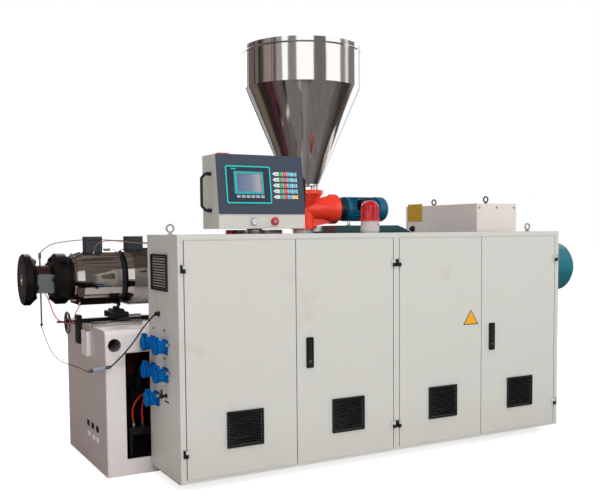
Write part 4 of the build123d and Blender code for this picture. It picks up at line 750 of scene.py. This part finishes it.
def door_fittings():
    """Bare triangular plate on the third door, lock cylinders and hinge pins."""
    face = front_place(CABINET_FRONT)
    plate_x = 1750.5
    flat_piece("door_plate_edge", [triangle(plate_x, 705, 111, 84)], 0, 0.8, face, plate_dark, "door_3")
    flat_piece("door_plate", [triangle(plate_x, 709.5, 95, 71.5)], 0.6, 1.3, face, plate_orange, "door_3")
    for door, x in LEVERS.items():
        lock = bmesh.new()
        seat = facing((x, CABINET_FRONT - 6, HANDLE_FOOT + 34), (0, -1, 0))
        turned(lock, [(8.4, -2), (8.4, 5), (7.2, 6.2), (0, 6.2)], seat, 28)
        slab(lock, rounded(10, 24, 4, 1, -6), 3, 4.6, seat @ turn_z(-18))
        piece(f"{door}_lock", lock, hard_chrome, door)
        flat_piece(f"{door}_keyway", [rounded(1.6, 9, 0.7)], 6, 6.5, seat, plate_dark, door)
    pins = []
    y = CABINET_FRONT - HINGE_AXIS_OUT
    low_hinge = corners("cabinet_hinges")[0][2] + HINGE_HALF_HEIGHT
    high_hinge = corners("cabinet_hinges")[1][2] - HINGE_HALF_HEIGHT
    for left, right in OPENINGS:
        for x in (left + DOOR_GAP / 2, right - DOOR_GAP / 2):
            for z in (low_hinge, high_hinge):
                for way in (1, -1):
                    pins.append(((x, y, z + way * HINGE_HALF_HEIGHT), (0, 0, way)))
    bolts("hinge_pin_heads", pins, "frame", 4.2, 1.6, flats=12, washer=1.1)


def cabinet_fittings():
    """Lips of the doors' frame, and what is screwed to the end wall and the back."""
    lips = bmesh.new()
    foot = CABINET_BOTTOM + BOTTOM_RAIL
    head = CABINET_TOP - TOP_RAIL
    for left, right in OPENINGS:
        for low, high in ((foot + 0.2, foot + DOOR_GAP - 0.6), (head - DOOR_GAP + 0.6, head - 0.2)):
            sheet(lips, (left + 0.2, CABINET_FRONT + 1.5, low), (right - 0.2, CABINET_FRONT + 4, high))
    piece("door_frame_lips", lips, beige_coat, "frame")

    wall = end_place(LEFT_END)
    caps = bmesh.new()
    for y, z in ((-722, 701), (-719, 565), (-575, 432)):
        turned(caps, [(9, 0), (9, 4), (6, 5), (6, 14), (8.5, 16), (8.5, 23), (6, 26), (0, 26.5)],
               facing((LEFT_END, y, z), (-1, 0, 0)), 24)
    piece("socket_caps", caps, hard_chrome, "frame")
    tap = bmesh.new()
    turned(tap, [(11, 0), (11, 6), (7, 8), (7, 18), (11, 20), (12, 30), (9, 35), (0, 36)],
           facing((LEFT_END, -665, 446), (-1, 0, 0)), 24)
    slab(tap, rounded(9, 34, 4, 662, 462), 20, 28, wall)
    piece("air_tap", tap, black_abs, "frame")
    plates = ((650, 765, 24), (645, 626, 24), (489, 761, 22), (505, 631, 22), (668, 416, 58))
    flat_piece("socket_labels", [rounded(width, 9, 1.5, u, z) for u, z, width in plates], 0, 0.7, wall,
               plate_dark)
    screws = [((-6, y + dy, z + dz), (-1, 0, 0)) for y, z in SOCKETS for dy in (-30, 30) for dz in (-30, 30)]
    bolts("socket_screws", screws, "frame", 3.2, 1.4, flats=12, washer=1.2)

    inset = 20
    back = []
    for x0, x1 in ((LEFT_END + inset, JOINT - inset), (JOINT + inset, RIGHT_END - inset)):
        for i in range(7):
            for z in (CABINET_BOTTOM + 22, CABINET_TOP - 22):
                back.append(((x0 + (x1 - x0) * i / 6, CABINET_BACK, z), (0, 1, 0)))
    bolts("back_panel_screws", back, "frame", 5, 2.5)


def guard_fittings():
    """Bare yellow plate, cable entry and screws of the coupling guard."""
    left, front, bottom = GUARD_LOW
    back, top = GUARD_HIGH[1:]
    flat_piece("guard_plate", [rounded(168, 122, 2, -276, 1365)], 0, 1.2, end_place(left), plate_yellow)
    turned_piece("guard_cable_entry", [(22, 0), (22, 6), (15, 9), (15, 22), (9, 26), (0, 26)],
                 facing((left, 299, 1254), (-1, 0, 0)), black_abs, steps=28)
    low, high = bottom + 25, top - 26
    screws = [((left, y, low), (-1, 0, 0)) for y in (-360, -180, 0, 180, 360)]
    for x in (left + 21, left + 167, left + 314):
        for z in (low, high):
            screws += [((x, front, z), (0, -1, 0)), ((x, back, z), (0, 1, 0))]
    bolts("guard_screws", screws, "frame", 5.5, 3)


def support_fittings():
    """Bare labels and caps on the support's end, the sleeve of its bar hole and its brown inside."""
    end = end_place(SUPPORT_END)
    flat_piece("support_labels", [rounded(50, 30, 2, u, 217) for u in (40, 129.5, 223.5)], 0, 1.6, end,
               plate_dark)
    flat_piece("support_caps", [rounded(48, 26, 5, u, 158) for u in (47, 144.5, 218.5)], 0, 1.6, end,
               white_caps)
    turned_piece("lifting_bar_sleeve", [(34, 0.5), (34, 140), (33, 140), (33, 0.5), (34, 0.5)],
                 facing((-178, -400, 675), (0, 1, 0)), base_enamel)
    lining = bmesh.new()
    left_wall, right_wall = ((-219.8, -390, 8), (-218.6, 392, 742)), ((326.6, -390, 8), (327.8, 392, 742))
    back_wall = ((-218, 391.6, 8), (326, 392.8, 742))
    roof, floor = ((-218, -390, 741.4), (326, 391, 742.6)), ((-218, -390, 7.4), (326, 391, 8.6))
    for low, high in (left_wall, right_wall, back_wall, roof, floor):
        sheet(lining, low, high)
    piece("support_lining", lining, brown_primer, "frame")


def barrel_fittings():
    """Nuts and bolts of both flanges, the bright ring of the die bore and the terminal box's screws."""
    bolt_circle("die_flange_nuts", (DIE_FACE + DIE_FLANGE, 0, BARREL_Z), (1, 0, 0), FLANGE_BOLTS_R, 8, 11, 9,
                forged_steel, 22.5)
    bolt_circle("barrel_flange_bolts", (BARREL_FLANGE_FACE, 0, BARREL_Z), (-1, 0, 0), FLANGE_BOLTS_R, 8,
                11, 10, forged_steel)
    turned_piece("die_bore_ring", [(33, 0.1), (32, -0.3), (24.7, -0.3), (24.2, 1), (23.6, 60)],
                 facing((DIE_FACE, 0, BARREL_Z), (1, 0, 0)), eye_finish)
    bolts("terminal_screws", [((x, -85, z), (0, -1, 0)) for x in (-471, -408) for z in (940, 1018)],
          "frame", 3, 1.4, flats=12, washer=1.15)


def feeder_fittings():
    """Bolts of the feeder and of the hopper's foot, and the fan slots of both motors."""
    bolt_circle("feeder_foot_bolts", (FEEDER_X, 0, FEEDER_FOOT_Z + 22), (0, 0, 1), 73.5, 6, 6, 5)
    bolt_circle("hopper_foot_bolts", (FEEDER_X, 0, FEEDER_TOP_Z + 35), (0, 0, 1), 88, 8, 7, 6)
    bolt_circle("feeder_top_nuts", (FEEDER_X, 0, FEEDER_TOP_Z - 23), (0, 0, -1), 112, 8, 6, 6, start=12)
    bolt_circle("feeder_side_bolts", (FEEDER_MOTOR_LEFT, 0, FEEDER_AXIS_Z), (1, 0, 0), 83, 8, 6, 6)
    slots = circle_places((FEEDER_MOTOR_END, 0, FEEDER_AXIS_Z), (1, 0, 0), 48, 16)
    fan_slots("feeder_fan_slots", slots, 30, 4)
    centre = (MOTOR_END - SLOT_DEPTH / 2, 0, MOTOR_Z)
    slots = []
    for radius in (40, 66, 92, 118):
        slots += circle_places(centre, (1, 0, 0), radius, round(radius / 3.2))
    fan_slots("motor_fan_slots", slots, 18, 4.5)


def beacon_fittings():
    """Red band round the beacon's seam and the short red mark under it."""
    here = Matrix.Translation((BEACON_X, BEACON_Y, BEACON_SEAM))
    turned_piece("beacon_band", [(52.5, -9.5), (55.6, -8.5), (55.6, 0.5), (52.5, 1.5), (52.5, -9.5)], here,
                 signal_red, steps=64)
    outlines = []
    for i in range(6):
        a0, a1 = (math.radians(-73 + 4.5 * k) for k in (i, i + 1))
        around = ((52.6, a0), (52.6, a1), (50.6, a1), (50.6, a0))
        outlines.append([(radius * math.cos(a), radius * math.sin(a)) for radius, a in around])
    flat_piece("beacon_mark", outlines, -31, -26.5, here, signal_red)


def cord(name, node, route, diameter, material):
    """A wire on a smooth line along its route; sizes and places in millimetres."""
    curve = bpy.data.curves.new(name, "CURVE")
    curve.dimensions = "3D"
    curve.resolution_u = 10
    curve.bevel_depth = diameter / 2 * MM
    curve.bevel_resolution = 3
    curve.use_fill_caps = True
    line = curve.splines.new("NURBS")
    line.points.add(len(route) - 1)
    for point, place in zip(line.points, route):
        point.co = [c * MM for c in place] + [1.0]
    line.order_u = 3
    line.use_endpoint_u = True
    curve.materials.append(material)
    obj = link(bpy.data.objects.new(name, curve))
    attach(obj, "frame")
    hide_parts(node)
    return obj


def cords():
    """Wires round the barrel and the two hoses in the support's window."""
    cord("pressure_capillary", "sensor_capillary", [
        (-452, 0, 752), (-446, -24, 718), (-442, -55, 689), (-438, -88, 663), (-433, -121, 638),
        (-425, -157, 616), (-415, -194, 600), (-403, -234, 590), (-389, -273, 585), (-374, -312, 580),
        (-357, -351, 576), (-340, -389, 569), (-321, -425, 558)],
        4, sheath_steel)
    cord("sensor_signal_cable", "sensor_cable", [
        (-209, -440, 575), (-176, -474, 614), (-144, -514, 665), (-115, -543, 712), (-89, -562, 761),
        (-57, -573, 803), (-22, -580, 841)],
        7, sheath_black)
    cord("melt_thermocouple_lead", "thermocouple_lead", [
        (-448, 0, 1139), (-413, -10, 1176), (-363, -22, 1192), (-312, -33, 1199), (-259, -43, 1204),
        (-206, -48, 1206), (-153, -50, 1206), (-99, -51, 1203), (-46, -51, 1200), (8, -49, 1197),
        (60, -58, 1192), (100, -92, 1187), (124, -139, 1185), (138, -191, 1182), (147, -243, 1174),
        (154, -295, 1162), (158, -347, 1151), (158, -399, 1140)],
        4, sheath_steel)
    cord("heater_supply_lead", "heater_lead", [
        (-181, -58, 1139), (-170, -62, 1181), (-125, -60, 1199), (-75, -60, 1200), (-26, -62, 1194),
        (23, -68, 1188), (70, -83, 1184), (110, -111, 1180), (124, -157, 1173), (125, -206, 1165),
        (132, -254, 1157), (139, -302, 1147), (141, -350, 1136), (142, -399, 1126)],
        5, sheath_brown)
    cord("neck_heater_lead", "red_heater_lead", [
        (-444, -78, 931), (-427, -82, 897), (-417, -81, 863), (-407, -78, 830), (-391, -74, 799),
        (-366, -70, 775), (-334, -65, 761), (-302, -61, 768), (-290, -60, 800), (-280, -59, 830),
        (-262, -58, 856)],
        5, sheath_red)
    cord("support_hose_left", "support_hoses", [
        (-65, -322, 260), (-71, -324, 300), (-62, -323, 345), (-30, -314, 382), (10, -292, 398),
        (40, -260, 394), (56, -224, 379), (60, -190, 365)],
        10, hose_red)
    cord("support_hose_right", "support_hoses", [
        (-15, -322, 260), (-19, -325, 295), (-15, -322, 332), (-2, -303, 358), (12, -272, 368),
        (19, -232, 370), (20, -190, 362)],
        10, hose_red)


def shown_background(tree):
    """1 for the rays that show the plain background: camera, mirror and glass rays."""
    rays = add(tree, "ShaderNodeLightPath").outputs
    seen = add(tree, "ShaderNodeMath", {"operation": "MAXIMUM"}, i0=rays["Is Camera Ray"],
               i1=rays["Is Glossy Ray"])
    return add(tree, "ShaderNodeMath", {"operation": "MAXIMUM"}, i0=seen.outputs[0],
               i1=rays["Is Transmission Ray"]).outputs[0]


def studio():
    """White surroundings, five soft lamps and a pale floor; metres and watts."""
    scene = bpy.context.scene
    scene.view_settings.view_transform = "Standard"
    world = bpy.data.worlds.new("studio")
    scene.world = world
    tree = empty_tree(world)
    soft = add(tree, "ShaderNodeBackground", Color=linear("#FFFFFF"), Strength=0.42)
    plain = add(tree, "ShaderNodeBackground", Color=linear("#FFFFFF"), Strength=1.0)
    both = add(tree, "ShaderNodeMixShader", i0=shown_background(tree), i1=soft.outputs[0],
               i2=plain.outputs[0])
    add(tree, "ShaderNodeOutputWorld", Surface=both.outputs[0])

    for name, place, target, size, power, colour in (
            ("key_light", (-0.6, -9.0, 4.4), (1.0, -0.6, 0.8), 5.0, 372, "#FFFFFF"),
            ("top_light", (0.5, -1.5, 6.5), (1.0, 0.0, 1.0), 4.0, 130, "#FFFFFF"),
            ("side_light", (-7.5, -2.5, 2.2), (0.0, -0.3, 0.7), 3.0, 30, "#FFC2A2"),
            ("right_light", (4.8, -2.0, 3.2), (1.2, 0.0, 1.4), 2.0, 34, "#FFFFFF"),
            ("back_light", (2.0, 6.0, 4.0), (1.0, 0.0, 1.0), 4.0, 130, "#FFFFFF")):
        lamp = bpy.data.lights.new(name, "AREA")
        lamp.size = size
        lamp.energy = power
        lamp.color = linear(colour)[:3]
        holder = link(bpy.data.objects.new(name, lamp))
        holder.visible_glossy = name == "back_light"
        aim = (Vector(target) - Vector(place)).to_track_quat("-Z", "Y")
        holder.matrix_world = Matrix.Translation(place) @ aim.to_matrix().to_4x4()

    ground = bmesh.new()
    bmesh.ops.create_grid(ground, x_segments=1, y_segments=1, size=40)
    mesh = bpy.data.meshes.new("floor")
    ground.to_mesh(mesh)
    ground.free()
    floor = link(bpy.data.objects.new("floor", mesh))
    material = bpy.data.materials.new("studio_floor")
    tree = empty_tree(material)
    matt = add(tree, "ShaderNodeBsdfDiffuse", Color=linear("#DCDCDA"))
    glow = add(tree, "ShaderNodeEmission", Color=linear("#FFFFFF"), Strength=0.72)
    lit = add(tree, "ShaderNodeAddShader", i0=matt.outputs[0], i1=glow.outputs[0])
    both = add(tree, "ShaderNodeMixShader", i0=shown_background(tree), i1=matt.outputs[0],
               i2=lit.outputs[0])
    add(tree, "ShaderNodeOutputMaterial", Surface=both.outputs[0])
    mesh.materials.append(material)


def card_material(name, colour, streak_mm=0, streak_colour=None):
    """Matt studio card that only mirrors see; streaks stand for what hangs behind it."""
    material = bpy.data.materials.new(name)
    tree = empty_tree(material)
    shade = add(tree, "ShaderNodeEmission", Color=linear(colour))
    if streak_colour:
        place = add(tree, "ShaderNodeTexCoord").outputs["Object"]
        flat = add(tree, "ShaderNodeMapping", Vector=place, Scale=(1, 1, 0.02)).outputs[0]
        bands = add(tree, "ShaderNodeTexNoise", Vector=flat, Scale=1000 / streak_mm, Detail=3.0)
        mask = add(tree, "ShaderNodeMapRange", Value=bands.outputs["Fac"], From_Min=0.47, From_Max=0.56)
        tint = add(tree, "ShaderNodeMix", COLOURS, i0=mask.outputs[0], i6=linear(colour),
                   i7=linear(streak_colour))
        tree.links.new(tint.outputs[2], shade.inputs["Color"])
    add(tree, "ShaderNodeOutputMaterial", Surface=shade.outputs[0])
    return material


def card(name, outline, material):
    """A studio card, in metres, that is seen in mirrors and by nothing else."""
    mesh = bpy.data.meshes.new(name)
    mesh.from_pydata(outline, [], [tuple(range(len(outline)))])
    mesh.materials.append(material)
    obj = link(bpy.data.objects.new(name, mesh))
    for ray in ("camera", "diffuse", "transmission", "volume_scatter", "shadow"):
        setattr(obj, f"visible_{ray}", False)


def level_card(name, x0, x1, y0, y1, z, material):
    """A lying rectangular card."""
    card(name, [(x0, y0, z), (x1, y0, z), (x1, y1, z), (x0, y1, z)], material)


def hopper_cards():
    """Grey cards round and under the hopper, which give its polished steel the dark bands."""
    centre = Vector((FEEDER_X * MM, 0, 0))
    to_camera = -118.9
    shelf_z = 1.236

    def out(angle, radius, z):
        """Point round the hopper, its angle measured from the way to the camera."""
        a = math.radians(to_camera + angle)
        return tuple(centre + Vector((radius * math.cos(a), radius * math.sin(a), z)))

    def fan(name, bands, low, high, streak_mm):
        """Cards between two (radius, z) rims, one colour for each band of angles."""
        for i, (a0, a1, colour, streak) in enumerate(bands):
            shade = card_material(f"{name}_{i}", colour, streak_mm, streak)
            steps = max(1, round((a1 - a0) / 12))
            for k in range(steps):
                b0, b1 = (a0 + (a1 - a0) * j / steps for j in (k, k + 1))
                card(f"{name}_{i}_{k}", [out(b0, *low), out(b1, *low), out(b1, *high), out(b0, *high)], shade)

    fan("standing_card", [
        (-180, -130, "#B0ACAE", "#544F4E"), (-130, -78, "#6A615E", "#302B29"),
        (-78, -57, "#8F827D", "#6A5D58"), (-57, -50, "#5A524F", None), (-50, -38, "#96908D", None),
        (-27, -10, "#7F7976", None), (22, 47, "#6A6461", None), (79, 92, "#88827E", None),
        (92, 101, "#D6D4D4", None),
        (101, 124.5, "#78726E", None), (150, 180, "#CFD3D8", None)], (8, 0), (8, 7), 700)
    lying = [
        (-180, -130, "#2C2623", "#3E2C28"), (-130, -122, "#473F3A", None), (-122, -103, "#6B6358", "#57503F"),
        (-103, -98, "#453D38", None), (-98, -78, "#241F1D", "#33261F"), (-78, -62, "#4C2535", "#382028"),
        (-62, -55, "#4E423E", None), (-55, -45, "#5B4F4A", None), (-45, -42, "#4E4541", None),
        (-42, -19, "#625B58", "#554E4B"), (-19, -10, "#746E6B", None), (-10, -7, "#827E7B", None),
        (-7, -2, "#9A9693", None), (-2, 10, "#787674", None), (10, 18, "#6C6967", None),
        (18, 40, "#645F5D", "#6E6A68"), (40, 69, "#6D6A68", "#625E5B"), (69, 79, "#59524F", None),
        (79, 88, "#4F4744", None), (88, 108, "#3D3633", "#2F2926"), (108, 130, "#4C4542", None),
        (130, 180, "#48423F", None)]
    fan("floor_card", lying, (1.0, 0.004), (8, 0.004), 220)
    fan("shelf_card", lying, (0.12, shelf_z), (1.15, shelf_z), 90)
    fan("near_shelf_card", lying[10:15], (1.15, shelf_z), (1.5, shelf_z), 90)
    fan("far_shelf_card", lying[15:], (1.15, shelf_z), (1.9, shelf_z), 90)


def room_cards():
    """Cards round the console, before the machine, by the sockets, over the support and overhead."""
    dull = card_material("dull_card", "#6C6764")
    left, right, back, foot, top = 0.25, 0.76, -0.512, 1.24, 1.66
    card("console_back_card", [(left, back, foot), (right, back, foot), (right, back, top),
                               (left, back, top)], dull)
    card("console_side_card", [(0.75, -0.74, foot), (0.75, -0.51, foot), (0.75, -0.51, top),
                               (0.75, -0.7, top)], dull)
    level_card("console_top_card", left, right, -0.7, -0.51, 1.653, dull)
    black = card_material("black_card", "#120F0E")
    level_card("front_card", -2.5, 3.5, -3.5, -1.15, 0.008, black)
    card("socket_card", [(-0.12, -0.95, 0.5), (-0.12, -0.3, 0.5), (-0.12, -0.3, 0.83),
                         (-0.12, -0.95, 0.83)], black)
    level_card("support_card", -0.62, -0.02, -0.1, 0.25, 0.79, black)
    level_card("ceiling_card", -6, 7, -9, 8, 7.2, card_material("ceiling_card", "#857B76", 500, "#453B37"))


def photo_camera():
    """Camera at the photograph's place, from its calibration."""
    focal_px, centre_x, centre_y = 825.90, 306.38, 285.35
    width, height = 600, 500
    yaw, pitch, roll = (math.radians(a) for a in (29.086, 3.730, -0.465))
    ahead = Vector((math.sin(yaw) * math.cos(pitch), math.cos(yaw) * math.cos(pitch), -math.sin(pitch)))
    level = Vector((math.cos(yaw), -math.sin(yaw), 0))
    above = level.cross(ahead)
    right = level * math.cos(roll) + above * math.sin(roll)
    up = above * math.cos(roll) - level * math.sin(roll)
    lens = bpy.data.cameras.new("photo_camera")
    lens.sensor_width = 36
    lens.lens = focal_px * lens.sensor_width / width
    lens.shift_x = (width / 2 - centre_x) / width
    lens.shift_y = (centre_y - height / 2) / width
    lens.clip_end = 200
    holder = link(bpy.data.objects.new("photo_camera", lens))
    turn = Matrix((right, up, -ahead)).transposed().to_4x4()
    holder.matrix_world = Matrix.Translation((-1.3383, -4.4821, 1.2402)) @ turn
    bpy.context.scene.camera = holder


photo_camera()
studio()
hopper_cards()
room_cards()
dress_cad_nodes()
cords()
console_fittings()
door_fittings()
cabinet_fittings()
guard_fittings()
support_fittings()
barrel_fittings()
feeder_fittings()
beacon_fittings()
